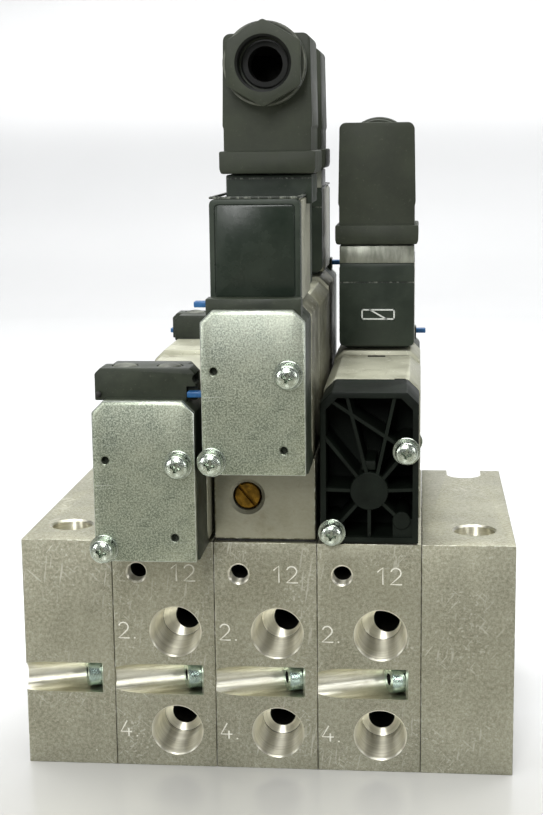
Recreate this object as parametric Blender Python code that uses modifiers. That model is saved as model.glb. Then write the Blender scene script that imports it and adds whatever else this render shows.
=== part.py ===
"""Three-station pneumatic valve manifold: a pilot valve, a double-solenoid valve and a spring-return valve.

Frame: metres, +Z up. The origin is the centre of the manifold's bottom face, X runs along the row of
stations, and -Y is the front, where the working ports 2 and 4 open. Each valve has its own frame on its
centre line at the height of its seat. An end unit is modelled facing -Y, and a rear one is the same unit
turned half a turn about Z.
"""

import math

import bmesh
import bpy
from mathutils import Matrix, Vector

MM = 0.001
GAP = 0.3 * MM                      # clearance between pieces that touch
ROUND = 20                          # sides of a round shape that shows
HIDDEN_ROUND = 8                    # sides of an inner passage
SPOOL_SIDES = 12
MERGE = 0.00001

# Manifold blocks
PITCH = 27 * MM
BLOCK_HEIGHT = 62 * MM
BLOCK_DEPTH = 90 * MM
END_PLATE_WIDTH = 24 * MM
FRONT = -BLOCK_DEPTH / 2
BACK = BLOCK_DEPTH / 2

# Working ports, in the front of each sub-base: height, and the side step of the passage behind the bore
WORKING_PORTS = {"2": (37.5 * MM, 1.3 * MM), "4": (10.1 * MM, 0.0)}
PORT_SIDE = 3 * MM                  # right of the station's centre line
PORT_RIM_RADIUS = 7.05 * MM
PORT_RADIUS = 6.0 * MM
PORT_END_RADIUS = 5.5 * MM
PORT_LENGTH = 12.9 * MM
DRILL_POINT = 3.3 * MM              # length of the cone that the drill leaves
PASSAGE_RADIUS = 3.5 * MM
PILOT_PORT = (-7.0 * MM, 53.5 * MM)
PILOT_PORT_RADIUS = 2.45 * MM
PILOT_PORT_RIM = 2.9 * MM
PILOT_PORT_LENGTH = 16 * MM

# Air ways under each valve: side step, place along Y, and the height that each one goes down to
AIR_WAYS = {
    "3": (-4 * MM, -18 * MM, 24 * MM),
    "2": (0.0, -9 * MM, 37.5 * MM),
    "1": (0.0, 0.0, 26 * MM),
    "4": (0.0, 9 * MM, 10.1 * MM),
    "5": (4 * MM, 18 * MM, 24 * MM),
}
CHANNELS = ("3", "1", "5")          # these run through the whole manifold along X
AIR_WAY_RADIUS = 2.5 * MM
CHANNEL_RADIUS = 4.5 * MM

# Joining screws, in slots that run inwards to the right
SLOT_ANGLE = math.radians(21)
SLOT_RADIUS = 4.1 * MM
SLOT_LENGTH = 36 * MM
SEAT_TO_JOINT = 4.4 * MM
SEAT_DEPTH = 5.6 * MM
SLOT_HEIGHT = 24.2 * MM
SCREW_HEAD_RADIUS = 3.75 * MM
SCREW_HEAD_LENGTH = 4 * MM
SCREW_SHANK_RADIUS = 2 * MM
SCREW_SHANK_LENGTH = 12 * MM
HEX_KEY_RADIUS = 1.73 * MM
HEX_KEY_DEPTH = 2 * MM

# Mounting holes in the end plates
MOUNT_HOLE = (54.5 * MM, -29 * MM)
COUNTERBORE_RADIUS = 5.4 * MM
COUNTERBORE_DEPTH = 6.5 * MM
MOUNT_HOLE_RADIUS = 3.3 * MM
REAR_SLOT = (53.5 * MM, 39.2 * MM)
REAR_SLOT_RADIUS = 5.2 * MM

# Throttle plate between the middle sub-base and its valve
THROTTLE_PLATE_HEIGHT = 22 * MM
THROTTLE_PLATE_HALF_WIDTH = 13.2 * MM
THROTTLE_PLATE_FRONT = -43.8 * MM
THROTTLE_PLATE_BACK = 44 * MM
THROTTLE_SCREW = (-4.6 * MM, 73.9 * MM)
THROTTLE_SCREW_RADIUS = 3.5 * MM
THROTTLE_SCREW_LENGTH = 12 * MM
THROTTLE_SCREW_SUNK = 1.2 * MM
THROTTLE_RIM_RADIUS = 4.4 * MM

# Valves: half-widths along X, and heights above the valve's seat
VALVE_BOTTOM = 1.5 * MM
GASKET_TOP = 1.2 * MM
GASKET_HALF = (12.3 * MM, 22.8 * MM)
BODY_HALF_WIDTH = 13.0 * MM
BODY_HALF_LENGTH = 23 * MM
BODY_TOP = 39.7 * MM
CORNER = 3 * MM
SPOOL_HEIGHT = 13.9 * MM
SPOOL_BORE_RADIUS = 5.5 * MM
SPOOL_LAND_RADIUS = 5.2 * MM
SPOOL_WAIST_RADIUS = 3.4 * MM
SPOOL_LENGTH = 41 * MM
SPOOL_TRAVEL = 4 * MM

# End units: places along Y, front to back, of a unit that faces -Y
PLATE_FRONT = -68.4 * MM
PLATE_THICKNESS = 2.2 * MM
HOUSING_FRONT = -65.9 * MM
HOUSING_BACK = -49.15 * MM
HOUSING_HALF_WIDTH = 12.7 * MM
HOUSING_TOP = 41.1 * MM
HOUSING_FLARE = 0.5 * MM
PILOT_BLOCK_FRONT = -48.85 * MM
PILOT_BLOCK_TOP = 41.0 * MM
PILOT_BLOCK_HALF_WIDTH = 12.9 * MM
PILOT_WAY_RADIUS = 3 * MM
PLATE_HALF_WIDTH = 12.6 * MM
PLATE_BOTTOM = 1.0 * MM
PLATE_CORNER = 2.9 * MM
PLATE_SCREWS = {"upper": (8.5 * MM, 25.6 * MM), "lower": (-10.3 * MM, 4.3 * MM)}
PLATE_PIN_HOLES = ((-9.5 * MM, 26.4 * MM), (7.3 * MM, 7.2 * MM))
PIN_HOLE_RADIUS = 0.95 * MM
COVER_SCREW_HEAD_RADIUS = 2.9 * MM
COVER_SCREW_HEAD_LENGTH = 2.5 * MM
COVER_SCREW_RADIUS = 1.5 * MM
COVER_SCREW_HOLE_RADIUS = 1.9 * MM
COVER_SCREW_LENGTH = 12 * MM
WASHERS = 1.6 * MM                  # thickness of the two washers under each head

# Pilot heads of the left valve
HEAD_FRONT = -63.3 * MM
HEAD_WAIST = -56 * MM
HEAD_BACK = -50 * MM
HEAD_BOTTOM = 40.4 * MM
HEAD_TOP = 48.5 * MM
HEAD_HALF_WIDTH = 12.6 * MM
HEAD_BACK_HALF_WIDTH = 11 * MM

# Manual overrides, pressed down beside the head or in front of the coil
OVERRIDE_Y = (-64.5 * MM, -61.5 * MM)
OVERRIDE_Z = (41.4 * MM, 42.8 * MM)
OVERRIDE_TRAVEL = 1 * MM
OVERRIDE_COIL_X = (-14.5 * MM, -9 * MM)
OVERRIDE_HEAD_X = (10.4 * MM, 14.3 * MM)
LEDGE_HALF_WIDTH = 11.5 * MM
LEDGE_Y = (-65.6 * MM, -60.4 * MM)
LEDGE_TOP = 43.6 * MM

# Solenoids
COIL_FRONT = -60 * MM
COIL_BACK = -21 * MM
COIL_HALF_WIDTH = 11 * MM
COIL_BOTTOM = 41.5 * MM
COIL_TOP = 67 * MM
COIL_EDGE = 1.2 * MM
NECK_HALF_WIDTH = 10.4 * MM
NECK_FRONT = -40 * MM
NECK_BACK = -21.5 * MM
NECK_TOP = 72.3 * MM
CONTACT_PINS = ((-4.5 * MM, -31 * MM), (0.0, -35 * MM), (4.5 * MM, -31 * MM))
CONTACT_PIN_SIZE = (0.8 * MM, 3 * MM)
CONTACT_PIN_TOP = 79 * MM
ARMATURE_HEIGHT = 54 * MM
ARMATURE_RADIUS = 4.2 * MM
ARMATURE_LENGTH = 14 * MM
ARMATURE_Y = -43 * MM
ARMATURE_TRAVEL = 0.8 * MM
ARMATURE_VENT_RADIUS = 1.5 * MM

# Connector plugs and cable glands
COLLAR_HALF_WIDTH = 12.1 * MM
COLLAR_Y = (-44 * MM, -19.4 * MM)
COLLAR_Z = (72.6 * MM, 78.2 * MM)
PLUG_Y = (-43 * MM, -20 * MM)
PLUG_TOP = 107.6 * MM
MIDDLE_PLUG_TOP = 106.8 * MM
PLUG_HALF_WIDTH = 11.2 * MM
PLUG_TOP_HALF_WIDTH = 10.8 * MM
PLUG_CORNER = 2.5 * MM
PLUG_CAVITY_HALF = (7.5 * MM, 7.5 * MM)
PLUG_CAVITY_Y = -31.5 * MM
PLUG_CAVITY_TOP = 102 * MM
GLAND_HEIGHT = 99.2 * MM
GLAND_FLANGE_RADIUS = 10.3 * MM
GLAND_FLANGE_FRONT = -46 * MM
GLAND_NUT_FRONT = -52 * MM
GLAND_NUT_RADIUS = 10.5 * MM
GLAND_BORE_RADIUS = 6.35 * MM
MIDDLE_PLUG_SHIFT = 1.6 * MM        # the front plug of the middle valve sits a little to the right

# Ribbed end cap with the return spring of the right valve
CAP_FRONT = -45 * MM
CAP_HALF_WIDTH = 12.6 * MM
CAP_WALL = 1.5 * MM
CAP_FLOOR = 6 * MM
RIB_THICKNESS = 1.3 * MM
RIB_RECESS = 0.5 * MM
HUB_RADIUS = 5.25 * MM
SPRING_CHAMBER_RADIUS = 4.4 * MM
SPRING_CHAMBER_END = -41.5 * MM
BOSS_RADIUS = 3.9 * MM
CAP_SCREWS = {"upper": (9.5 * MM, 24.6 * MM), "lower": (-9.6 * MM, 3.1 * MM)}
BLIND_BOSS = (8.3 * MM, 6.2 * MM)
BLIND_BOSS_RADIUS = 2.3 * MM
# Each rib runs from one point to another, across and up from the seat
CAP_RIBS = (
    ((0.0, 13.9), (-12.0, 14.2)), ((0.0, 13.9), (12.0, 14.4)), ((0.0, 13.9), (0.0, 0.8)),
    ((0.0, 13.9), (-9.6, 3.1)), ((0.0, 13.9), (9.0, 5.4)), ((0.0, 13.9), (-12.0, 28.6)),
    ((-0.3, 17.0), (-5.8, 39.0)), ((1.8, 17.0), (6.6, 39.0)), ((-10.6, 37.9), (9.5, 24.6)),
)
SPRING_RADIUS = 3.3 * MM
SPRING_WIRE_RADIUS = 0.45 * MM
SPRING_TURNS = 6
SPRING_POINTS_PER_TURN = 10

# Finishes: base colour, roughness, metallic
FINISHES = {
    "machined_aluminium": ((0.46, 0.45, 0.36), 0.42, 0.9),
    "painted_aluminium": ((0.60, 0.60, 0.48), 0.38, 0.4),
    "zinc_plate": ((0.52, 0.55, 0.50), 0.30, 0.95),
    "steel": ((0.60, 0.61, 0.60), 0.25, 1.0),
    "brass": ((0.62, 0.42, 0.10), 0.30, 1.0),
    "black_plastic": ((0.022, 0.026, 0.022), 0.45, 0.0),
    "coil_plastic": ((0.030, 0.038, 0.030), 0.38, 0.0),
    "blue_plastic": ((0.03, 0.15, 0.36), 0.40, 0.0),
    "rubber": ((0.02, 0.02, 0.02), 0.75, 0.0),
}

LEFT, MIDDLE, RIGHT = -PITCH, 0.0, PITCH


def remove_all_objects():
    for obj in list(bpy.data.objects):
        bpy.data.objects.remove(obj, do_unlink=True)


def new_collection(name):
    collection = bpy.data.collections.new(name)
    bpy.context.scene.collection.children.link(collection)
    return collection


def new_material(name, finish):
    """A Principled material of the object's own, from one of the finishes."""
    colour, roughness, metallic = FINISHES[finish]
    material = bpy.data.materials.new(name)
    material.use_nodes = True
    shader = material.node_tree.nodes["Principled BSDF"]
    shader.inputs["Base Color"].default_value = (*colour, 1.0)
    shader.inputs["Roughness"].default_value = roughness
    shader.inputs["Metallic"].default_value = metallic
    material.diffuse_color = (*colour, 1.0)
    return material


# --- Meshes ---------------------------------------------------------------------------------------

def mesh_from(name, bm):
    bmesh.ops.recalc_face_normals(bm, faces=bm.faces)
    mesh = bpy.data.meshes.new(name)
    bm.to_mesh(mesh)
    bm.free()
    return mesh


def box_mesh(name, size):
    bm = bmesh.new()
    bmesh.ops.create_cube(bm, size=1.0)
    bmesh.ops.scale(bm, vec=Vector(size), verts=bm.verts)
    return mesh_from(name, bm)


def cylinder_mesh(name, radius, length, sides):
    bm = bmesh.new()
    bmesh.ops.create_cone(
        bm, cap_ends=True, segments=sides, radius1=radius, radius2=radius, depth=length
    )
    return mesh_from(name, bm)


def prism_mesh(name, outline, length):
    """A flat outline in local X and Y, made thick along local Z."""
    curve = bpy.data.curves.new(name, "CURVE")
    curve.dimensions = "2D"
    curve.fill_mode = "BOTH"
    curve.extrude = length / 2
    spline = curve.splines.new("POLY")
    spline.points.add(len(outline) - 1)
    for point, (x, y) in zip(spline.points, outline):
        point.co = (x, y, 0.0, 1.0)
    spline.use_cyclic_u = True
    return mesh_of_curve(name, curve)


def mesh_of_curve(name, curve):
    """Turn a curve into a closed mesh and remove the curve."""
    holder = bpy.data.objects.new(name + "_curve", curve)
    bpy.context.scene.collection.objects.link(holder)
    evaluated = holder.evaluated_get(bpy.context.evaluated_depsgraph_get())
    mesh = bpy.data.meshes.new_from_object(evaluated)
    bpy.data.objects.remove(holder, do_unlink=True)
    bm = bmesh.new()
    bm.from_mesh(mesh)
    bmesh.ops.remove_doubles(bm, verts=bm.verts, dist=MERGE)
    bmesh.ops.recalc_face_normals(bm, faces=bm.faces)
    bm.to_mesh(mesh)
    bm.free()
    mesh.name = name
    return mesh


def profile_mesh(name, profile):
    """The edges of a turned profile: radius and height, from its top down its outer side."""
    bm = bmesh.new()
    corners = [bm.verts.new((radius, 0.0, height)) for radius, height in profile]
    for first, second in zip(corners, corners[1:]):
        bm.edges.new((first, second))
    mesh = bpy.data.meshes.new(name)
    bm.to_mesh(mesh)
    bm.free()
    return mesh


# --- Placing --------------------------------------------------------------------------------------

TOWARDS_FRONT = Matrix.Rotation(math.radians(90), 4, "X")     # local Z to -Y, local Y to +Z
TOWARDS_LEFT = Matrix.Rotation(math.radians(-90), 4, "Y")     # local Z to -X
TOWARDS_RIGHT = Matrix.Rotation(math.radians(90), 4, "Y")     # local Z to +X
UPRIGHT = Matrix.Identity(4)


class Frame:
    """Where pieces are placed: an empty, and the name that its pieces' names start with."""

    def __init__(self, name, location=(0.0, 0.0, 0.0), half_turn=False):
        self.name = name
        self.empty = bpy.data.objects.new(name + "_frame", None)
        self.empty.location = location
        self.empty.rotation_euler = (0.0, 0.0, math.pi if half_turn else 0.0)
        PARTS.objects.link(self.empty)


def put(name, mesh, collection, location, turn=UPRIGHT, frame=None):
    obj = bpy.data.objects.new(name, mesh)
    obj.location = location
    obj.rotation_euler = turn.to_euler()
    if frame:
        obj.parent = frame.empty
    collection.objects.link(obj)
    return obj


def part(name, mesh, finish, location, turn=UPRIGHT, frame=None):
    """A piece of the object: a node with a material of its own."""
    obj = put(name, mesh, PARTS, location, turn, frame)
    obj.data.materials.append(new_material(name, finish))
    return obj


def turn_profile(obj, sides=ROUND):
    screw = obj.modifiers.new("turn", "SCREW")
    screw.axis = "Z"
    screw.steps = sides
    screw.render_steps = sides
    screw.use_merge_vertices = True
    screw.merge_threshold = MERGE
    return obj


def tool(mesh, location, turn=UPRIGHT, frame=None):
    """A shape that cuts another one or is joined to it."""
    obj = put(mesh.name, mesh, TOOLS, location, turn, frame)
    obj.hide_render = True
    obj.display_type = "WIRE"
    return obj


def combine(obj, operation, tools):
    """Cut the tools out of an object (DIFFERENCE) or join them to it (UNION)."""
    group = bpy.data.collections.new(f"{obj.name}_{operation.lower()}_{len(obj.modifiers)}")
    TOOLS.children.link(group)
    for piece in tools:
        group.objects.link(piece)
    boolean = obj.modifiers.new(operation.lower(), "BOOLEAN")
    boolean.operation = operation
    boolean.operand_type = "COLLECTION"
    boolean.collection = group
    boolean.solver = "EXACT"
    return obj


def cut(obj, tools):
    return combine(obj, "DIFFERENCE", tools)


def join(obj, tools):
    return combine(obj, "UNION", tools)


def middle_of(low, high):
    return (Vector(low) + Vector(high)) / 2


def size_of(low, high):
    return Vector(high) - Vector(low)


def box_part(name, finish, low, high, frame=None):
    return part(name, box_mesh(name, size_of(low, high)), finish, middle_of(low, high), frame=frame)


def box_tool(low, high, frame=None):
    return tool(box_mesh("box_tool", size_of(low, high)), middle_of(low, high), frame=frame)


def bar_tool(start, length, radius, turn, frame=None, sides=HIDDEN_ROUND):
    """A round bar from start, along the turned Z axis."""
    centre = Vector(start) + turn.to_3x3() @ Vector((0.0, 0.0, length / 2))
    return tool(cylinder_mesh("bar_tool", radius, length, sides), centre, turn, frame)


def turned_tool(profile, location, turn, frame=None, sides=ROUND):
    return turn_profile(tool(profile_mesh("turned_tool", profile), location, turn, frame), sides)


def soften(obj, width, segments=2):
    bevel = obj.modifiers.new("edges", "BEVEL")
    bevel.width = width
    bevel.segments = segments
    bevel.limit_method = "ANGLE"
    return obj


def arc(centre, radius, start, end, steps):
    """Points on an arc, between two angles in degrees."""
    angles = [math.radians(start + (end - start) * i / steps) for i in range(steps + 1)]
    return [(centre[0] + radius * math.cos(a), centre[1] + radius * math.sin(a)) for a in angles]


def chamfered_outline(half_width, bottom, top, corner, flare=0.0):
    """A valve's cross-section: a rectangle with its two upper corners cut off, wider at its foot."""
    return [
        (-half_width - flare, bottom), (half_width + flare, bottom), (half_width, bottom + corner),
        (half_width, top - corner), (half_width - corner, top), (corner - half_width, top),
        (-half_width, top - corner), (-half_width, bottom + corner),
    ]


def section_part(name, finish, outline, front, back, frame):
    """A piece whose outline is constant between two places along Y."""
    mesh = prism_mesh(name, outline, back - front)
    return part(name, mesh, finish, (0.0, (front + back) / 2, 0.0), TOWARDS_FRONT, frame)


def section_tool(outline, front, back, frame):
    mesh = prism_mesh("section_tool", outline, back - front)
    return tool(mesh, (0.0, (front + back) / 2, 0.0), TOWARDS_FRONT, frame)


# --- Manifold -------------------------------------------------------------------------------------

def port_tool(location, turn, rim=PORT_RIM_RADIUS, mouth=PORT_RADIUS, end=PORT_END_RADIUS,
              length=PORT_LENGTH):
    """A chamfered bore with a drill point. Local Z points out of its mouth."""
    above = 1 * MM
    chamfer = rim - mouth
    profile = [
        (0.0, above), (rim + above, above), (mouth, -chamfer), (end, -length),
        (0.0, -length - DRILL_POINT * end / PORT_END_RADIUS),
    ]
    return turned_tool(profile, location, turn)


def slot_turn():
    """Local Z along the joining screw, local X into the block, local Y up."""
    along = Vector((math.cos(SLOT_ANGLE), math.sin(SLOT_ANGLE), 0.0))
    inward = Vector((-math.sin(SLOT_ANGLE), math.cos(SLOT_ANGLE), 0.0))
    up = Vector((0.0, 0.0, 1.0))
    return Matrix((inward, up, along)).transposed().to_4x4(), along


def screw_seat(joint):
    return Vector((joint - SEAT_TO_JOINT, FRONT + SEAT_DEPTH, SLOT_HEIGHT))


def slot_tools(joint):
    """The slot of the joining screw that crosses the joint at this X, and its hole to the joint."""
    turn, along = slot_turn()
    outward = 20 * MM
    outline = [(-outward, -SLOT_RADIUS)] + arc((0.0, 0.0), SLOT_RADIUS, -90, 90, ROUND // 2)
    outline += [(-outward, SLOT_RADIUS)]
    slot = tool(
        prism_mesh("slot_tool", outline, SLOT_LENGTH), screw_seat(joint) - along * SLOT_LENGTH / 2, turn
    )
    return [slot, screw_hole_tool(joint)]


def screw_hole_tool(joint):
    turn, along = slot_turn()
    start = screw_seat(joint) - along * GAP * 3
    length = SCREW_SHANK_LENGTH + GAP * 5
    return bar_tool(start, length, SCREW_SHANK_RADIUS + GAP, turn)


def make_joining_screw(number, joint):
    turn, along = slot_turn()
    profile = [
        (0.0, SCREW_SHANK_LENGTH), (SCREW_SHANK_RADIUS, SCREW_SHANK_LENGTH),
        (SCREW_SHANK_RADIUS, 0.0), (SCREW_HEAD_RADIUS, 0.0),
        (SCREW_HEAD_RADIUS, -SCREW_HEAD_LENGTH), (0.0, -SCREW_HEAD_LENGTH),
    ]
    name = f"joining_screw_{number}"
    seat = screw_seat(joint) - along * GAP
    screw = turn_profile(part(name, profile_mesh(name, profile), "steel", seat, turn))
    socket = seat - along * (SCREW_HEAD_LENGTH + 1 * MM)
    cut(screw, [bar_tool(socket, HEX_KEY_DEPTH + 1 * MM, HEX_KEY_RADIUS, turn, sides=6)])


def channel_tools(left, width):
    """The three channels along X, cut through one block."""
    start_x = left - 1 * MM
    return [
        bar_tool((start_x, AIR_WAYS[key][1], AIR_WAYS[key][2]), width + 2 * MM, CHANNEL_RADIUS,
                 TOWARDS_RIGHT)
        for key in CHANNELS
    ]


def air_way_tool(x, key, top, bottom):
    side, y, _ = AIR_WAYS[key]
    return bar_tool((x + side, y, bottom), top - bottom, AIR_WAY_RADIUS, UPRIGHT)


def make_sub_base(number, x):
    name = f"sub_base_{number}"
    left = x - PITCH / 2
    right = x + PITCH / 2
    block = box_part(
        name, "machined_aluminium",
        (left + GAP / 2, FRONT, 0.0), (right - GAP / 2, BACK, BLOCK_HEIGHT),
    )
    tools = channel_tools(left, PITCH) + slot_tools(right)
    tools.append(screw_hole_tool(left))
    for key, (height, step) in WORKING_PORTS.items():
        port_x = x + PORT_SIDE
        tools.append(port_tool((port_x, FRONT, height), TOWARDS_FRONT))
        passage_end = AIR_WAYS[key][1] + AIR_WAY_RADIUS
        passage_start = FRONT + PORT_LENGTH
        tools.append(bar_tool(
            (port_x + step, passage_end, height), passage_end - passage_start, PASSAGE_RADIUS,
            TOWARDS_FRONT,
        ))
    tools.append(port_tool(
        (x + PILOT_PORT[0], FRONT, PILOT_PORT[1]), TOWARDS_FRONT, PILOT_PORT_RIM, PILOT_PORT_RADIUS,
        PILOT_PORT_RADIUS, PILOT_PORT_LENGTH,
    ))
    for key, (_, _, bottom) in AIR_WAYS.items():
        tools.append(air_way_tool(x, key, BLOCK_HEIGHT + 1 * MM, bottom))
    cut(block, tools)


def make_end_plate(name, inner_x, side):
    """side is -1 for the left end plate and +1 for the right one."""
    outer_x = inner_x + side * END_PLATE_WIDTH
    low_x = min(inner_x + side * GAP / 2, outer_x)
    high_x = max(inner_x + side * GAP / 2, outer_x)
    plate = box_part(name, "machined_aluminium", (low_x, FRONT, 0.0), (high_x, BACK, BLOCK_HEIGHT))
    hole_x = side * MOUNT_HOLE[0]
    hole_y = MOUNT_HOLE[1]
    outward = TOWARDS_RIGHT if side > 0 else TOWARDS_LEFT
    tools = [
        bar_tool((hole_x, hole_y, BLOCK_HEIGHT - COUNTERBORE_DEPTH), COUNTERBORE_DEPTH + 1 * MM,
                 COUNTERBORE_RADIUS, UPRIGHT, sides=ROUND),
        bar_tool((hole_x, hole_y, -1 * MM), BLOCK_HEIGHT, MOUNT_HOLE_RADIUS, UPRIGHT, sides=ROUND),
        rear_slot_tool(side),
    ]
    tools += channel_tools(min(inner_x, outer_x), END_PLATE_WIDTH)
    tools += [port_tool((outer_x, AIR_WAYS[key][1], AIR_WAYS[key][2]), outward) for key in CHANNELS]
    tools += slot_tools(inner_x) if side < 0 else [screw_hole_tool(inner_x)]
    cut(plate, tools)


def rear_slot_tool(side):
    """The fixing slot that is open at the back, through the end plate's whole height."""
    outline = arc((0.0, 0.0), REAR_SLOT_RADIUS, 180, 360, ROUND // 2)
    open_end = BACK - REAR_SLOT[1] + 2 * MM
    outline += [(REAR_SLOT_RADIUS, open_end), (-REAR_SLOT_RADIUS, open_end)]
    height = BLOCK_HEIGHT + 2 * MM
    mesh = prism_mesh("rear_slot_tool", outline, height)
    return tool(mesh, (side * REAR_SLOT[0], REAR_SLOT[1], BLOCK_HEIGHT / 2))


def make_manifold():
    stations = (LEFT, MIDDLE, RIGHT)
    joints = [x + PITCH / 2 for x in (LEFT - PITCH, *stations)]
    make_end_plate("left_end_plate", joints[0], -1)
    make_end_plate("right_end_plate", joints[-1], 1)
    for number, x in enumerate(stations, start=1):
        make_sub_base(number, x)
    for number, joint in enumerate(joints, start=1):
        make_joining_screw(number, joint)


# --- Throttle plate -------------------------------------------------------------------------------

def make_throttle_plate():
    top = BLOCK_HEIGHT + THROTTLE_PLATE_HEIGHT
    plate = box_part(
        "throttle_plate", "machined_aluminium",
        (-THROTTLE_PLATE_HALF_WIDTH, THROTTLE_PLATE_FRONT, BLOCK_HEIGHT + GAP * 2),
        (THROTTLE_PLATE_HALF_WIDTH, THROTTLE_PLATE_BACK, top),
    )
    tools = [air_way_tool(MIDDLE, key, top + 1 * MM, BLOCK_HEIGHT - 1 * MM) for key in AIR_WAYS]
    bore = THROTTLE_SCREW_RADIUS + GAP
    length = THROTTLE_SCREW_LENGTH + THROTTLE_SCREW_SUNK + GAP * 2
    x, z = THROTTLE_SCREW
    tools.append(port_tool(
        (x, THROTTLE_PLATE_FRONT, z), TOWARDS_FRONT, THROTTLE_RIM_RADIUS, bore, bore, length
    ))
    end = AIR_WAYS["3"][1]
    reach = end - THROTTLE_PLATE_FRONT - length
    tools.append(bar_tool((x, end, z), reach, AIR_WAY_RADIUS / 2, TOWARDS_FRONT))
    cut(plate, tools)


def make_throttle_screw():
    """A slotted needle screw. Its origin is on its own axis, which it turns about."""
    needle = 3 * MM
    slot_half_width = 0.5 * MM
    slot_depth = 1.4 * MM
    profile = [
        (0.0, 0.0), (THROTTLE_SCREW_RADIUS, 0.0),
        (THROTTLE_SCREW_RADIUS, needle - THROTTLE_SCREW_LENGTH), (0.0, -THROTTLE_SCREW_LENGTH),
    ]
    x, z = THROTTLE_SCREW
    face = THROTTLE_PLATE_FRONT + THROTTLE_SCREW_SUNK
    screw = turn_profile(part(
        "throttle_screw", profile_mesh("throttle_screw", profile), "brass", (x, face, z), TOWARDS_FRONT
    ))
    slot = box_mesh("throttle_slot_tool", (2 * slot_half_width, 10 * MM, 2 * slot_depth))
    diagonal = TOWARDS_FRONT @ Matrix.Rotation(math.radians(-50), 4, "Z")
    cut(screw, [tool(slot, (x, face, z), diagonal)])


# --- Valve bodies ---------------------------------------------------------------------------------

def make_gasket(frame):
    name = frame.name + "_gasket"
    half_x, half_y = GASKET_HALF
    gasket = box_part(
        name, "rubber", (-half_x, -half_y, GAP), (half_x, half_y, GASKET_TOP), frame
    )
    cut(gasket, [
        bar_tool((side, y, -1 * MM), 4 * MM, AIR_WAY_RADIUS, UPRIGHT, frame)
        for side, y, _ in AIR_WAYS.values()
    ])


def make_body(frame):
    """The valve body, with the spool's bore through it and its five air ways."""
    length = BODY_HALF_LENGTH - GAP / 2
    outline = chamfered_outline(BODY_HALF_WIDTH, VALVE_BOTTOM, BODY_TOP, CORNER)
    body = section_part(
        frame.name + "_valve_body", "painted_aluminium", outline, -length, length, frame
    )
    tools = [bar_tool(
        (0.0, BODY_HALF_LENGTH + 1 * MM, SPOOL_HEIGHT), 2 * BODY_HALF_LENGTH + 2 * MM,
        SPOOL_BORE_RADIUS, TOWARDS_FRONT, frame, ROUND,
    )]
    tools += [
        bar_tool((side, y, 0.0), SPOOL_HEIGHT, AIR_WAY_RADIUS, UPRIGHT, frame)
        for side, y, _ in AIR_WAYS.values()
    ]
    cut(body, tools)


def spool_profile():
    """Six lands with five waists between them, from one end to the other along the axis."""
    lands = 6
    land = 3.5 * MM
    waist = (SPOOL_LENGTH - lands * land) / (lands - 1)
    profile = [(0.0, SPOOL_LENGTH / 2)]
    top = SPOOL_LENGTH / 2
    for number in range(lands):
        profile += [(SPOOL_LAND_RADIUS, top), (SPOOL_LAND_RADIUS, top - land)]
        if number < lands - 1:
            profile += [(SPOOL_WAIST_RADIUS, top - land), (SPOOL_WAIST_RADIUS, top - land - waist)]
        top -= land + waist
    return profile + [(0.0, -SPOOL_LENGTH / 2)]


def make_spool(frame, rest_side):
    """rest_side is -1 when the spool rests at the front of its travel and +1 at the back."""
    name = frame.name + "_spool"
    location = (0.0, rest_side * SPOOL_TRAVEL / 2, SPOOL_HEIGHT)
    mesh = profile_mesh(name, spool_profile())
    spool = part(name, mesh, "machined_aluminium", location, TOWARDS_FRONT, frame)
    turn_profile(spool, SPOOL_SIDES)


# --- End units ------------------------------------------------------------------------------------

def make_pilot_block(frame):
    outline = chamfered_outline(PILOT_BLOCK_HALF_WIDTH, VALVE_BOTTOM, PILOT_BLOCK_TOP, CORNER)
    back = -BODY_HALF_LENGTH - GAP / 2
    block = section_part(
        frame.name + "_pilot_block", "painted_aluminium", outline, PILOT_BLOCK_FRONT, back, frame
    )
    cut(block, [bar_tool(
        (0.0, back + 1 * MM, SPOOL_HEIGHT), back - PILOT_BLOCK_FRONT + 2 * MM, PILOT_WAY_RADIUS,
        TOWARDS_FRONT, frame,
    )])


def housing_outline():
    return chamfered_outline(
        HOUSING_HALF_WIDTH, PLATE_BOTTOM, HOUSING_TOP, CORNER, HOUSING_FLARE
    )


def screw_hole_tools(frame, face, places):
    depth = COVER_SCREW_LENGTH + 1 * MM
    return [
        bar_tool((x, face + depth, z), depth + 4 * MM, COVER_SCREW_HOLE_RADIUS, TOWARDS_FRONT, frame)
        for x, z in places.values()
    ]


def override_pocket_tool(frame, side_x, top):
    low = (side_x[0] - GAP, OVERRIDE_Y[0] - GAP, OVERRIDE_Z[0] - OVERRIDE_TRAVEL - GAP)
    high = (side_x[1] + GAP, OVERRIDE_Y[1] + GAP, top)
    beyond = 3 * MM
    if side_x[0] > 0:
        high = (high[0] + beyond, *high[1:])
    else:
        low = (low[0] - beyond, *low[1:])
    return box_tool(low, high, frame)


def make_pilot_housing(frame):
    """The black housing of a solenoid pilot, with a ledge that the override comes out of."""
    housing = section_part(
        frame.name + "_pilot_housing", "black_plastic", housing_outline(), HOUSING_FRONT,
        HOUSING_BACK, frame,
    )
    join(housing, [box_tool(
        (-LEDGE_HALF_WIDTH, LEDGE_Y[0], HOUSING_TOP - 2 * MM), (LEDGE_HALF_WIDTH, LEDGE_Y[1], LEDGE_TOP),
        frame,
    )])
    tools = screw_hole_tools(frame, PLATE_FRONT, PLATE_SCREWS)
    cut(housing, tools + [override_pocket_tool(frame, OVERRIDE_COIL_X, OVERRIDE_Z[1] + GAP)])


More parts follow.
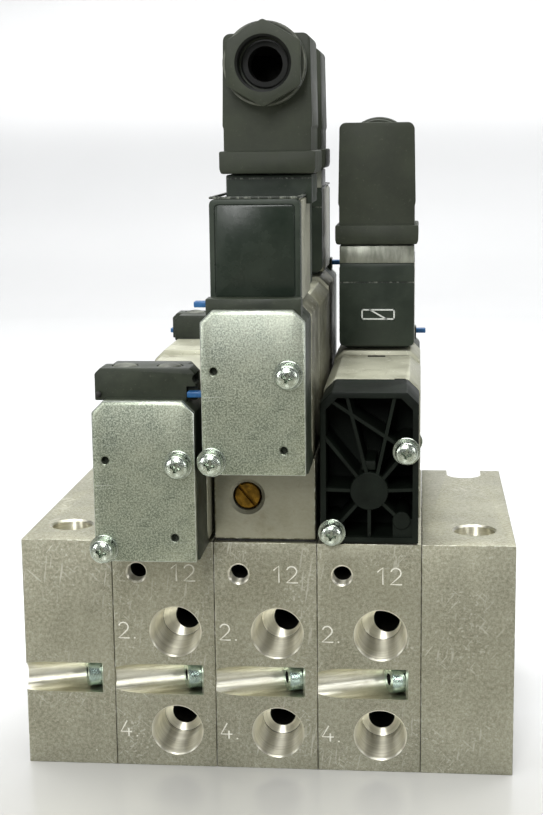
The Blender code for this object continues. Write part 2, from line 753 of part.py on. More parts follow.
def make_pilot_head(frame):
    """The black head of an air pilot: a housing with a low cap that reaches back over the block."""
    head = section_part(
        frame.name + "_pilot_head", "black_plastic", housing_outline(), HOUSING_FRONT,
        HOUSING_BACK, frame,
    )
    corner = CORNER / 2
    overlap = 1 * MM
    join(head, [
        section_tool(
            chamfered_outline(HEAD_HALF_WIDTH, HEAD_BOTTOM, HEAD_TOP, corner), HEAD_FRONT, HEAD_WAIST, frame
        ),
        section_tool(
            chamfered_outline(HEAD_BACK_HALF_WIDTH, HEAD_BOTTOM, HEAD_TOP - GAP / 2, corner),
            HEAD_WAIST - overlap, HEAD_BACK, frame,
        ),
    ])
    tools = screw_hole_tools(frame, PLATE_FRONT, PLATE_SCREWS)
    cut(head, tools + [override_pocket_tool(frame, OVERRIDE_HEAD_X, OVERRIDE_Z[1] + 1.2 * MM)])


def make_override(frame, side_x):
    """A small push button. It goes down into its pocket."""
    box_part(
        frame.name + "_override", "blue_plastic",
        (side_x[0], OVERRIDE_Y[0], OVERRIDE_Z[0]), (side_x[1], OVERRIDE_Y[1], OVERRIDE_Z[1]), frame,
    )


def make_cover_plate(frame):
    outline = chamfered_outline(PLATE_HALF_WIDTH, PLATE_BOTTOM, HOUSING_TOP, PLATE_CORNER)
    back = PLATE_FRONT + PLATE_THICKNESS
    plate = section_part(
        frame.name + "_cover_plate", "zinc_plate", outline, PLATE_FRONT, back, frame
    )
    tools = screw_hole_tools(frame, PLATE_FRONT, PLATE_SCREWS)
    depth = PLATE_THICKNESS + 2 * MM
    tools += [
        bar_tool((x, back + 1 * MM, z), depth, PIN_HOLE_RADIUS, TOWARDS_FRONT, frame, 8)
        for x, z in PLATE_PIN_HOLES
    ]
    cut(plate, tools)


def make_cover_screw(name, x, z, face, frame):
    """A pan-head screw with a cross recess. Its washers fill the room under the head."""
    crown = 0.9 * MM
    recess_depth = 1.3 * MM
    profile = [
        (0.0, COVER_SCREW_HEAD_LENGTH), (COVER_SCREW_HEAD_RADIUS * 0.62, COVER_SCREW_HEAD_LENGTH),
        (COVER_SCREW_HEAD_RADIUS, COVER_SCREW_HEAD_LENGTH - crown), (COVER_SCREW_HEAD_RADIUS, 0.0),
        (COVER_SCREW_RADIUS, 0.0), (COVER_SCREW_RADIUS, -COVER_SCREW_LENGTH),
        (0.0, -COVER_SCREW_LENGTH),
    ]
    location = (x, face - WASHERS - GAP, z)
    screw = part(name, profile_mesh(name, profile), "steel", location, TOWARDS_FRONT, frame)
    turn_profile(screw, 16)
    outside = Vector((x, location[1] - COVER_SCREW_HEAD_LENGTH, z))
    tools = [
        tool(box_mesh("cross_tool", size), outside, TOWARDS_FRONT, frame)
        for size in (
            (3.6 * MM, 0.9 * MM, 2 * recess_depth),
            (0.9 * MM, 3.6 * MM, 2 * recess_depth),
        )
    ]
    cut(screw, tools)


def make_cover_screws(frame, face, places):
    for key, (x, z) in places.items():
        make_cover_screw(f"{frame.name}_screw_{key}", x, z, face, frame)


# --- Solenoids ------------------------------------------------------------------------------------

def make_coil(frame, shift):
    """The coil in its plastic, with the neck and contact pins that carry the plug."""
    coil = box_part(
        frame.name + "_coil", "coil_plastic",
        (-COIL_HALF_WIDTH, COIL_FRONT, COIL_BOTTOM), (COIL_HALF_WIDTH, COIL_BACK, COIL_TOP), frame,
    )
    soften(coil, COIL_EDGE)
    overlap = 2 * MM
    pin_x, pin_y = CONTACT_PIN_SIZE
    tools = [box_tool(
        (shift - NECK_HALF_WIDTH, NECK_FRONT, COIL_TOP - overlap),
        (shift + NECK_HALF_WIDTH, NECK_BACK, NECK_TOP), frame,
    )]
    tools += [
        box_tool(
            (shift + x - pin_x / 2, y - pin_y / 2, NECK_TOP - overlap),
            (shift + x + pin_x / 2, y + pin_y / 2, CONTACT_PIN_TOP), frame,
        )
        for x, y in CONTACT_PINS
    ]
    join(coil, tools)
    half = (ARMATURE_LENGTH + ARMATURE_TRAVEL) / 2 + GAP
    centre = ARMATURE_Y + ARMATURE_TRAVEL / 2
    cut(coil, [
        bar_tool((0.0, centre + half, ARMATURE_HEIGHT), 2 * half, ARMATURE_RADIUS + GAP * 2,
                 TOWARDS_FRONT, frame, 16),
        bar_tool((0.0, centre, COIL_BOTTOM - 1 * MM), ARMATURE_HEIGHT - COIL_BOTTOM,
                 ARMATURE_VENT_RADIUS, UPRIGHT, frame),
    ])


def make_armature(frame):
    """The iron plunger. It is pulled back along Y when the coil is on."""
    name = frame.name + "_armature"
    half = ARMATURE_LENGTH / 2
    nose = 1.5 * MM
    profile = [
        (0.0, half), (ARMATURE_RADIUS * 0.5, half), (ARMATURE_RADIUS * 0.5, half - nose),
        (ARMATURE_RADIUS, half - nose), (ARMATURE_RADIUS, -half), (0.0, -half),
    ]
    location = (0.0, ARMATURE_Y, ARMATURE_HEIGHT)
    mesh = profile_mesh(name, profile)
    turn_profile(part(name, mesh, "steel", location, TOWARDS_FRONT, frame), 16)


def plug_outline(shift, top):
    """The plug from its cable side: nearly upright sides and round upper corners."""
    top_half = PLUG_TOP_HALF_WIDTH
    bottom = COLLAR_Z[1] - 1 * MM
    corner_z = top - PLUG_CORNER
    right = arc((shift + top_half - PLUG_CORNER, corner_z), PLUG_CORNER, 0, 90, 4)
    left = arc((shift - top_half + PLUG_CORNER, corner_z), PLUG_CORNER, 90, 180, 4)
    return [
        (shift - PLUG_HALF_WIDTH, bottom), (shift + PLUG_HALF_WIDTH, bottom), *right, *left
    ]


def make_plug(frame, shift, top):
    """The connector plug: a hollow housing on a collar, with its threaded spigot for the gland."""
    plug = box_part(
        frame.name + "_plug", "black_plastic",
        (shift - COLLAR_HALF_WIDTH, COLLAR_Y[0], COLLAR_Z[0]),
        (shift + COLLAR_HALF_WIDTH, COLLAR_Y[1], COLLAR_Z[1]), frame,
    )
    soften(plug, COIL_EDGE / 2, 1)
    spigot_reach = 3 * MM
    join(plug, [
        section_tool(plug_outline(shift, top), PLUG_Y[0], PLUG_Y[1], frame),
        bar_tool(
            (shift, PLUG_Y[0] + spigot_reach, GLAND_HEIGHT),
            PLUG_Y[0] + spigot_reach - GLAND_FLANGE_FRONT, GLAND_FLANGE_RADIUS, TOWARDS_FRONT, frame,
            ROUND,
        ),
    ])
    half_x, half_y = PLUG_CAVITY_HALF
    cable_way = PLUG_CAVITY_Y - GLAND_FLANGE_FRONT + 1 * MM
    cut(plug, [
        box_tool(
            (shift - half_x, PLUG_CAVITY_Y - half_y, COLLAR_Z[0] - 1 * MM),
            (shift + half_x, PLUG_CAVITY_Y + half_y, PLUG_CAVITY_TOP), frame,
        ),
        bar_tool((shift, PLUG_CAVITY_Y, GLAND_HEIGHT), cable_way, GLAND_BORE_RADIUS,
                 TOWARDS_FRONT, frame, ROUND),
    ])


def make_gland_nut(frame, shift):
    """The hexagonal nut that clamps the cable, with two of its corners up and down."""
    name = frame.name + "_gland_nut"
    back = GLAND_FLANGE_FRONT - GAP
    length = back - GLAND_NUT_FRONT
    nut = part(
        name, cylinder_mesh(name, GLAND_NUT_RADIUS, length, 6), "black_plastic",
        (shift, (back + GLAND_NUT_FRONT) / 2, GLAND_HEIGHT), TOWARDS_FRONT, frame,
    )
    soften(nut, 0.8 * MM, 1)
    cut(nut, [bar_tool((shift, back + 1 * MM, GLAND_HEIGHT), length + 2 * MM, GLAND_BORE_RADIUS,
                       TOWARDS_FRONT, frame, ROUND)])


def make_solenoid(frame, plug_top, shift=0.0):
    make_coil(frame, shift)
    make_armature(frame)
    make_plug(frame, shift, plug_top)
    make_gland_nut(frame, shift)


# --- Ribbed end cap and return spring -------------------------------------------------------------

def rib_tool(start, end, frame):
    """A straight rib between two points of the cap's face, from near its front to its floor."""
    first = Vector((start[0] * MM, start[1] * MM))
    second = Vector((end[0] * MM, end[1] * MM))
    run = second - first
    front = CAP_FRONT + RIB_RECESS
    back = -BODY_HALF_LENGTH - CAP_FLOOR + 2 * MM
    mesh = box_mesh("rib_tool", (run.length, RIB_THICKNESS, back - front))
    centre = (first + second) / 2
    turn = TOWARDS_FRONT @ Matrix.Rotation(math.atan2(run.y, run.x), 4, "Z")
    return tool(mesh, (centre.x, (front + back) / 2, centre.y), turn, frame)


def make_end_cap(frame):
    """The spring-return cap: a frame with a floor, ribs, a hub and screw bosses."""
    back = -BODY_HALF_LENGTH - GAP / 2
    floor = back - CAP_FLOOR
    outline = chamfered_outline(CAP_HALF_WIDTH, GAP, BODY_TOP, CORNER)
    cap = section_part("end_cap", "black_plastic", outline, CAP_FRONT, back, frame)
    hollow = chamfered_outline(
        CAP_HALF_WIDTH - CAP_WALL, GAP + CAP_WALL, BODY_TOP - CAP_WALL, CORNER
    )
    cut(cap, [section_tool(hollow, CAP_FRONT - 1 * MM, floor, frame)])
    root = floor + 2 * MM
    round_ribs = [(0.0, SPOOL_HEIGHT, HUB_RADIUS), (*BLIND_BOSS, BLIND_BOSS_RADIUS)]
    round_ribs += [(x, z, BOSS_RADIUS - 1.2 * MM) for x, z in CAP_SCREWS.values()]
    join(cap, [
        bar_tool((x, root, z), root - CAP_FRONT - RIB_RECESS / 2, radius, TOWARDS_FRONT, frame, 20)
        for x, z, radius in round_ribs
    ])
    join(cap, [rib_tool(start, end, frame) for start, end in CAP_RIBS])
    chamber = bar_tool((0.0, back + 1 * MM, SPOOL_HEIGHT), back + 1 * MM - SPRING_CHAMBER_END,
                       SPRING_CHAMBER_RADIUS, TOWARDS_FRONT, frame, ROUND)
    cut(cap, [chamber, *screw_hole_tools(frame, CAP_FRONT, CAP_SCREWS)])


def make_return_spring(frame):
    """A round-wire coil spring between the cap's chamber and the end of the spool."""
    back = SPOOL_TRAVEL / 2 - SPOOL_LENGTH / 2 - GAP - SPRING_WIRE_RADIUS
    front = SPRING_CHAMBER_END + GAP + SPRING_WIRE_RADIUS
    curve = bpy.data.curves.new("return_spring", "CURVE")
    curve.dimensions = "3D"
    curve.bevel_depth = SPRING_WIRE_RADIUS
    curve.bevel_resolution = 1
    curve.use_fill_caps = True
    spline = curve.splines.new("POLY")
    count = SPRING_TURNS * SPRING_POINTS_PER_TURN
    spline.points.add(count)
    for i, point in enumerate(spline.points):
        angle = math.tau * i / SPRING_POINTS_PER_TURN
        y = front + (back - front) * i / count
        point.co = (SPRING_RADIUS * math.cos(angle), y, SPRING_RADIUS * math.sin(angle), 1.0)
    mesh = mesh_of_curve("return_spring", curve)
    part("return_spring", mesh, "steel", (0.0, 0.0, SPOOL_HEIGHT), frame=frame)


# --- The valves -----------------------------------------------------------------------------------

def ends(name, x, seat):
    """The frames of a valve's front and rear end units."""
    location = (x, 0.0, seat)
    return Frame(name + "_front", location), Frame(name + "_rear", location, half_turn=True)


def make_valve_core(name, x, seat, rest_side):
    frame = Frame(name, (x, 0.0, seat))
    make_gasket(frame)
    make_body(frame)
    make_spool(frame, rest_side)
    return frame


def make_left_valve():
    """Switched by air at both ends."""
    make_valve_core("left", LEFT, BLOCK_HEIGHT, -1)
    front, rear = ends("left", LEFT, BLOCK_HEIGHT)
    for frame in (front, rear):
        make_pilot_block(frame)
        make_pilot_head(frame)
        make_cover_plate(frame)
        make_override(frame, OVERRIDE_HEAD_X)
    make_cover_screws(front, PLATE_FRONT, PLATE_SCREWS)


def make_middle_valve():
    """Switched by a solenoid at each end, on top of the throttle plate."""
    seat = BLOCK_HEIGHT + THROTTLE_PLATE_HEIGHT
    make_valve_core("middle", MIDDLE, seat, -1)
    front, rear = ends("middle", MIDDLE, seat)
    for frame, shift in ((front, MIDDLE_PLUG_SHIFT), (rear, 0.0)):
        make_pilot_block(frame)
        make_pilot_housing(frame)
        make_cover_plate(frame)
        make_override(frame, OVERRIDE_COIL_X)
        make_solenoid(frame, MIDDLE_PLUG_TOP, shift)
    make_cover_screws(front, PLATE_FRONT, PLATE_SCREWS)


def make_right_valve():
    """Switched by a solenoid at the rear and returned by a spring in the front cap."""
    core = make_valve_core("right", RIGHT, BLOCK_HEIGHT, 1)
    make_end_cap(core)
    make_return_spring(core)
    rear = ends("right", RIGHT, BLOCK_HEIGHT)[1]
    make_pilot_block(rear)
    make_pilot_housing(rear)
    make_cover_plate(rear)
    make_override(rear, OVERRIDE_COIL_X)
    make_solenoid(rear, PLUG_TOP)
    cap = Frame("end_cap", (RIGHT, 0.0, BLOCK_HEIGHT))
    make_cover_screws(cap, CAP_FRONT, CAP_SCREWS)


def shade_round_pieces():
    """Smooth shading with crisp edges, for every piece."""
    crisp = math.radians(35)
    for obj in PARTS.objects:
        if obj.type == "MESH":
            obj.data.shade_smooth()
            obj.data.set_sharp_from_angle(angle=crisp)


remove_all_objects()
PARTS = new_collection("valve_manifold")
TOOLS = new_collection("valve_manifold_tools")
TOOLS.hide_render = True
make_manifold()
make_throttle_plate()
make_throttle_screw()
make_left_valve()
make_middle_valve()
make_right_valve()
shade_round_pieces()
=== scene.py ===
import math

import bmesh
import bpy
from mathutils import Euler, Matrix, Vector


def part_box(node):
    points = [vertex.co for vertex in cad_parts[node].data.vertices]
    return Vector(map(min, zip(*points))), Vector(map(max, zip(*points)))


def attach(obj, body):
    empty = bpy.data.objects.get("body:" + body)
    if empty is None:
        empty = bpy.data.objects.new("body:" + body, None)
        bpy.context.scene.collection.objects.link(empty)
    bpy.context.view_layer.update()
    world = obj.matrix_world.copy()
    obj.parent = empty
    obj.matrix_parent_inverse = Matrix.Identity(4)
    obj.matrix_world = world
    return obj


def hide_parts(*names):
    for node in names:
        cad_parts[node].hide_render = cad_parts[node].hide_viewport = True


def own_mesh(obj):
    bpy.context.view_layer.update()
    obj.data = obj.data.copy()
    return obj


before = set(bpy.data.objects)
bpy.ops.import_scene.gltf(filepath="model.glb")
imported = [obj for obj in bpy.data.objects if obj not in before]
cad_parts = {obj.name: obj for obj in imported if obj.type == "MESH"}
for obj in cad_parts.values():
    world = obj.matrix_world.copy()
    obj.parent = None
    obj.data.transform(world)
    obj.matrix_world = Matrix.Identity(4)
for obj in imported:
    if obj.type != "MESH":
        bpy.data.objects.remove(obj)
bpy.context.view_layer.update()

# Looks of the three-station valve manifold, in the CAD model's frame: X along the stations, -Y the front and
# +Z up. Each visible CAD node is replaced by a finer mesh, placed and sized from the node's own box. Shapes and
# the grain of materials are given in millimetres, and only the lights and the camera in metres. An end unit is
# modelled facing -Y in the frame of its valve, and a rear one is turned half a turn about Z.

MM = 0.001
SIDES = 64                          # sides of a large round shape
SMALL_SIDES = 40
BORE_SIDES = 24
ROOT = "manifold"
RIGHTWARD, FRONTWARD, BACKWARD, UP = (1, 0, 0), (0, -1, 0), (0, 1, 0), (0, 0, 1)

# Camera, as the reference view is seen
CAMERA_PLACE = (0.03964, -0.42257, 0.16467)
CAMERA_TURN = (79.984, 0.62, 5.565)
CAMERA_LENS = 100.1
CAMERA_SENSOR = 36.0

# Manifold details that the blocks' boxes don't give
PORT_SIDE = 3.0                     # from a sub-base's centre line
PORTS = {"2": (37.5, 1.3, -6.5), "4": (10.1, 0.0, 11.5)}     # height, then its passage's side step and end
PORT_DEPTH = 12.9
DRILL_POINT = 0.6                   # depth of a drill's point over its radius
PORT_SHAPE = (7.0, 6.65, 5.35, PORT_DEPTH, DRILL_POINT)
PASSAGE = 3.5
PILOT_PORT = (-7.0, 53.5, 2.45, 2.9, 16.0)                   # side, height, radius, rim, depth
PILOT_LIT = 4.5
AIR_WAYS = ((-4, -18, 24), (0, -9, 37.5), (0, 0, 26), (0, 9, 10.1), (4, 18, 24))     # side, Y, bottom
AIR_WAY = 2.5
CHANNELS = ((-18, 24), (0, 26), (18, 24))                    # Y and height
CHANNEL = 4.5
SLOT_ANGLE = math.radians(21)
SLOT_RADIUS = 4.1
SLOT_HEIGHT = 24.2
SLOT_HEAD = 3.9
SEAT_TO_JOINT = 4.4
SEAT_DEPTH = 5.6
JOINT_GAP = 0.3
FIXING_HOLE = (54.5, -29, 3.3, 5.4, 6.5)                     # X, Y, radius, counterbore's radius and depth
REAR_SLOT = (53.5, 39.2, 5.2)                                # X, Y, radius
STROKE_RADIUS = 0.34
STROKE_OUT = 0.23

# Valve details, in a valve's own frame
VALVE_BOTTOM = 1.5
CORNER = 3
PLATE_CORNER = 2.9
PLATE_SCREWS = ((8.5, 25.6), (-10.3, 4.3))
PLATE_PIN_HOLES = ((-9.5, 26.4), (7.3, 7.2))
CAP_SCREWS = ((9.5, 24.6), (-9.6, 3.1))
SPOOL_HEIGHT = 13.9
HOUSING_HALF_WIDTH = 12.7
HOUSING_DEPTH = 16.75
HOUSING_FLARE = 0.5
LEDGE_PLACES = (-65.6, -60.4)
LEDGE_HALF_WIDTH = 11.5
HEAD_PLACES = (-63.3, -56, -50)     # the cap's front, its waist and the tail's back
HEAD_WIDTHS = (12.6, 11)
DOME_SIDES = (-5.6, 5.6)
COIL_HALF_WIDTH = 11
COIL_TOP = 67
YOKE = 1.3
NECK_HALF_WIDTH = 10.9
NECK_BACK = -21.5
PIN_PLACES = ((-4.5, -31), (0.0, -35), (4.5, -31))
PLUG_TOPS = {"middle": 106.8, "right": 107.6}
PLUG_FRONT, PLUG_BACK = -43, -20
COLLAR_TOP = 78.2
GLAND_HEIGHT = 99.2

# Ribs of the end cap, each between two points in X and Z
CAP_RIBS = (
    ((0.0, 13.9), (-12.0, 14.2)), ((0.0, 13.9), (12.0, 14.4)), ((0.0, 13.9), (0.0, 0.8)),
    ((0.0, 13.9), (-9.6, 3.1)), ((0.0, 13.9), (9.0, 5.4)), ((0.0, 13.9), (-12.0, 28.6)),
    ((-0.3, 17.0), (-5.8, 39.0)), ((1.8, 17.0), (6.6, 39.0)), ((-10.6, 37.9), (9.5, 24.6)),
    ((3.0, 16.5), (7.2, 21.6)),
)


# --- Meshes ---

def add_box(bm, low, high):
    centre = (Vector(low) + Vector(high)) / 2
    size = Vector(high) - Vector(low)
    made = bmesh.ops.create_cube(bm, size=1.0)["verts"]
    bmesh.ops.scale(bm, vec=size, verts=made)
    bmesh.ops.translate(bm, vec=centre, verts=made)
    return made


def add_bar(bm, start, end, front, back, width, beyond=0.0):
    """A bar between two points in X and Z, run along Y from front to back."""
    run = Vector((end[0] - start[0], 0.0, end[1] - start[1]))
    made = add_box(bm, (-beyond, front, -width / 2), (run.length + beyond, back, width / 2))
    turn = Matrix.Rotation(-math.atan2(run.z, run.x), 4, "Y")
    spot = Matrix.Translation((start[0], 0.0, start[1]))
    bmesh.ops.transform(bm, matrix=spot @ turn, verts=made)


def round_edges(bm, width, segments=2, edge_paint=0):
    bmesh.ops.bevel(
        bm, geom=list(bm.edges), offset=width, offset_type="OFFSET", segments=segments,
        profile=0.5, affect="EDGES", clamp_overlap=True, material=edge_paint,
    )


def prism_mesh(outline, front, back):
    """An outline in X and Z, run along Y from front to back."""
    bm = bmesh.new()
    face = bm.faces.new([bm.verts.new((x, front, z)) for x, z in outline])
    made = bmesh.ops.extrude_face_region(bm, geom=[face])
    moved = [v for v in made["geom"] if isinstance(v, bmesh.types.BMVert)]
    bmesh.ops.translate(bm, vec=(0.0, back - front, 0.0), verts=moved)
    return bm


def lathe_mesh(profile, sides):
    """A profile of radius and height turned about Z. Points on the axis close its ends."""
    bm = bmesh.new()
    rings = []
    for radius, height in profile:
        if radius < 1e-6:
            rings.append([bm.verts.new((0.0, 0.0, height))])
            continue
        angles = [math.tau * i / sides for i in range(sides)]
        rings.append([bm.verts.new((radius * math.cos(a), radius * math.sin(a), height)) for a in angles])
    for first, second in zip(rings, rings[1:]):
        for i in range(sides):
            j = (i + 1) % sides
            corners = (first[i % len(first)], first[j % len(first)], second[j % len(second)],
                       second[i % len(second)])
            unique = list(dict.fromkeys(corners))
            if len(unique) > 2:
                bm.faces.new(unique)
    return bm


def join_rings(bm, rings):
    """Faces between neighbouring rings of vertices, and a face over each end."""
    count = len(rings[0])
    for first, second in zip(rings, rings[1:]):
        for i in range(count):
            j = (i + 1) % count
            bm.faces.new((first[i], first[j], second[j], second[i]))
    bm.faces.new(rings[0])
    bm.faces.new(rings[-1][::-1])


def arc(centre, radius, start, end, steps):
    """Points on an arc, between two angles in degrees."""
    angles = [math.radians(start + (end - start) * i / steps) for i in range(steps + 1)]
    return [(centre[0] + radius * math.cos(a), centre[1] + radius * math.sin(a)) for a in angles]


def chamfered(half_width, bottom, top, corner=CORNER, flare=0.0):
    """A valve's outline in X and Z: cut corners at the top, and a foot that can flare."""
    return [
        (-half_width - flare, bottom), (half_width + flare, bottom), (half_width, bottom + CORNER),
        (half_width, top - corner), (half_width - corner, top), (corner - half_width, top),
        (-half_width, top - corner), (-half_width, bottom + CORNER),
    ]


def rounded(half_width, bottom, top, radius, steps=6, centre=0.0):
    """A rectangle with round corners, in X and Z."""
    side, low, high = half_width - radius, bottom + radius, top - radius
    corners = ((side, low, -90), (side, high, 0), (-side, high, 90), (-side, low, 180))
    return [point for x, z, start in corners for point in arc((centre + x, z), radius, start, start + 90, steps)]


class Place:
    """A frame to build in. Its shapes are in millimetres."""

    def __init__(self, matrix):
        self.matrix = matrix

    def cad(self, node):
        """The lowest and highest corner of a CAD node's box, here."""
        back = self.matrix.inverted()
        corners = [(back @ corner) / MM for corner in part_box(node)]
        return tuple(Vector([pick(c[i] for c in corners) for i in range(3)]) for pick in (min, max))

    def finish(self, name, bm, paint, crisp=35):
        """An object from a bmesh, smooth but for its sharp edges."""
        bmesh.ops.recalc_face_normals(bm, faces=bm.faces)
        bmesh.ops.scale(bm, vec=(MM, MM, MM), verts=bm.verts)
        mesh = bpy.data.meshes.new(name)
        bm.to_mesh(mesh)
        bm.free()
        mesh.materials.append(PAINTS[paint])
        mesh.shade_smooth()
        mesh.set_sharp_from_angle(angle=math.radians(crisp))
        obj = bpy.data.objects.new(name, mesh)
        bpy.context.scene.collection.objects.link(obj)
        obj.matrix_world = self.matrix
        return obj

    def box(self, name, low, high, paint, edge=0.2, segments=2, edge_paint=None):
        """A block. Its rounded edges can have a paint of their own."""
        bm = bmesh.new()
        add_box(bm, low, high)
        if edge:
            round_edges(bm, edge, segments, 1 if edge_paint else 0)
        obj = self.finish(name, bm, paint)
        if edge_paint:
            obj.data.materials.append(PAINTS[edge_paint])
        return obj

    def prism(self, name, outline, front, back, paint, edge=0.3, segments=2):
        bm = prism_mesh(outline, front, back)
        if edge:
            round_edges(bm, edge, segments)
        return self.finish(name, bm, paint)

    def lathe(self, name, profile, centre, axis, paint, sides=SIDES):
        """A closed turned piece. Its profile's heights run along axis from centre."""
        bm = lathe_mesh(profile, sides)
        if profile[0] == profile[-1]:
            bmesh.ops.remove_doubles(bm, verts=bm.verts, dist=1e-4)
        turn = Vector(axis).to_track_quat("Z", "Y").to_matrix().to_4x4()
        bmesh.ops.transform(bm, matrix=Matrix.Translation(centre) @ turn, verts=bm.verts)
        return self.finish(name, bm, paint)

    def rod(self, name, centre, axis, radius, length, paint, sides=SMALL_SIDES, edge=0.0):
        """A cylinder from centre along axis, with its two rims rounded off by edge."""
        profile = [(0.0, 0.0), (radius - edge, 0.0), (radius, edge), (radius, length - edge),
                   (radius - edge, length), (0.0, length)]
        return self.lathe(name, list(dict.fromkeys(profile)), centre, axis, paint, sides)

    def ring(self, name, centre, axis, inner, outer, length, paint, sides=SIDES, edge=0.15):
        """A tube along axis from centre."""
        profile = [(inner, 0.0), (outer - edge, 0.0), (outer, edge), (outer, length - edge),
                   (outer - edge, length), (inner, length), (inner, 0.0)]
        return self.lathe(name, profile, centre, axis, paint, sides)

    def bore(self, centre, axis, paint, rim, mouth, end, depth, point=0.0, sides=SIDES):
        """A cutter for a chamfered bore that opens along axis and narrows from mouth to end."""
        profile = [(0.0, 1), (rim + 1, 1), (mouth, mouth - rim), (end, -depth), (0.0, -depth - point * end)]
        return self.lathe("bore_cutter", profile, centre, axis, paint, sides)

    def air_ways(self, bottom, top, paint="dark", x=0.0):
        """Cutters for a valve's five air ways, each from its own depth if bottom is None."""
        cutters = []
        for side, y, depth in AIR_WAYS:
            start = depth if bottom is None else bottom
            cutters.append(self.rod("air_way_cutter", (x + side, y, start), UP, AIR_WAY, top - start, paint,
                                    BORE_SIDES))
        return cutters


WORLD = Place(Matrix.Identity(4))


def valve_place(name, turn=0.0):
    """The frame of a valve: on its centre line, at the height of its seat."""
    low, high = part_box(name + "_valve_body")
    seat = Matrix.Translation(((low.x + high.x) / 2, 0.0, low.z - VALVE_BOTTOM * MM))
    return Place(seat @ Matrix.Rotation(turn, 4, "Z"))


def apply_modifiers(obj):
    bpy.context.view_layer.update()
    evaluated = obj.evaluated_get(bpy.context.evaluated_depsgraph_get())
    mesh = bpy.data.meshes.new_from_object(evaluated)
    obj.modifiers.clear()
    old, obj.data = obj.data, mesh
    bpy.data.meshes.remove(old)
    return mesh


def carve(obj, cutters, operation="DIFFERENCE"):
    """Cuts the cutters out of the object (or joins them to it), and removes them."""
    group = bpy.data.collections.new(obj.name + "_cutters")
    for cutter in cutters:
        group.objects.link(cutter)
    boolean = obj.modifiers.new("carve", "BOOLEAN")
    boolean.operation = operation
    boolean.operand_type = "COLLECTION"
    boolean.collection = group
    boolean.solver = "EXACT"
    boolean.material_mode = "TRANSFER"
    mesh = apply_modifiers(obj)
    for cutter in cutters:
        bpy.data.objects.remove(cutter, do_unlink=True)
    bpy.data.collections.remove(group)
    mesh.shade_smooth()
    mesh.set_sharp_from_angle(angle=math.radians(30))
    return obj


def soften(obj, width, edge_paint):
    """Bevels the clear edges for good, in a paint of their own."""
    bevel = obj.modifiers.new("soften", "BEVEL")
    bevel.width = width * MM
    bevel.segments = 2
    bevel.limit_method = "ANGLE"
    bevel.angle_limit = math.radians(25)
    obj.data.materials.append(PAINTS[edge_paint])
    bevel.material = len(obj.data.materials) - 1
    apply_modifiers(obj)


def show(obj, node=None, body=ROOT):
    """The piece rides on its body, and stands for its CAD node if it has one."""
    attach(obj, body)
    if node:
        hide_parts(node)


# --- Materials ---

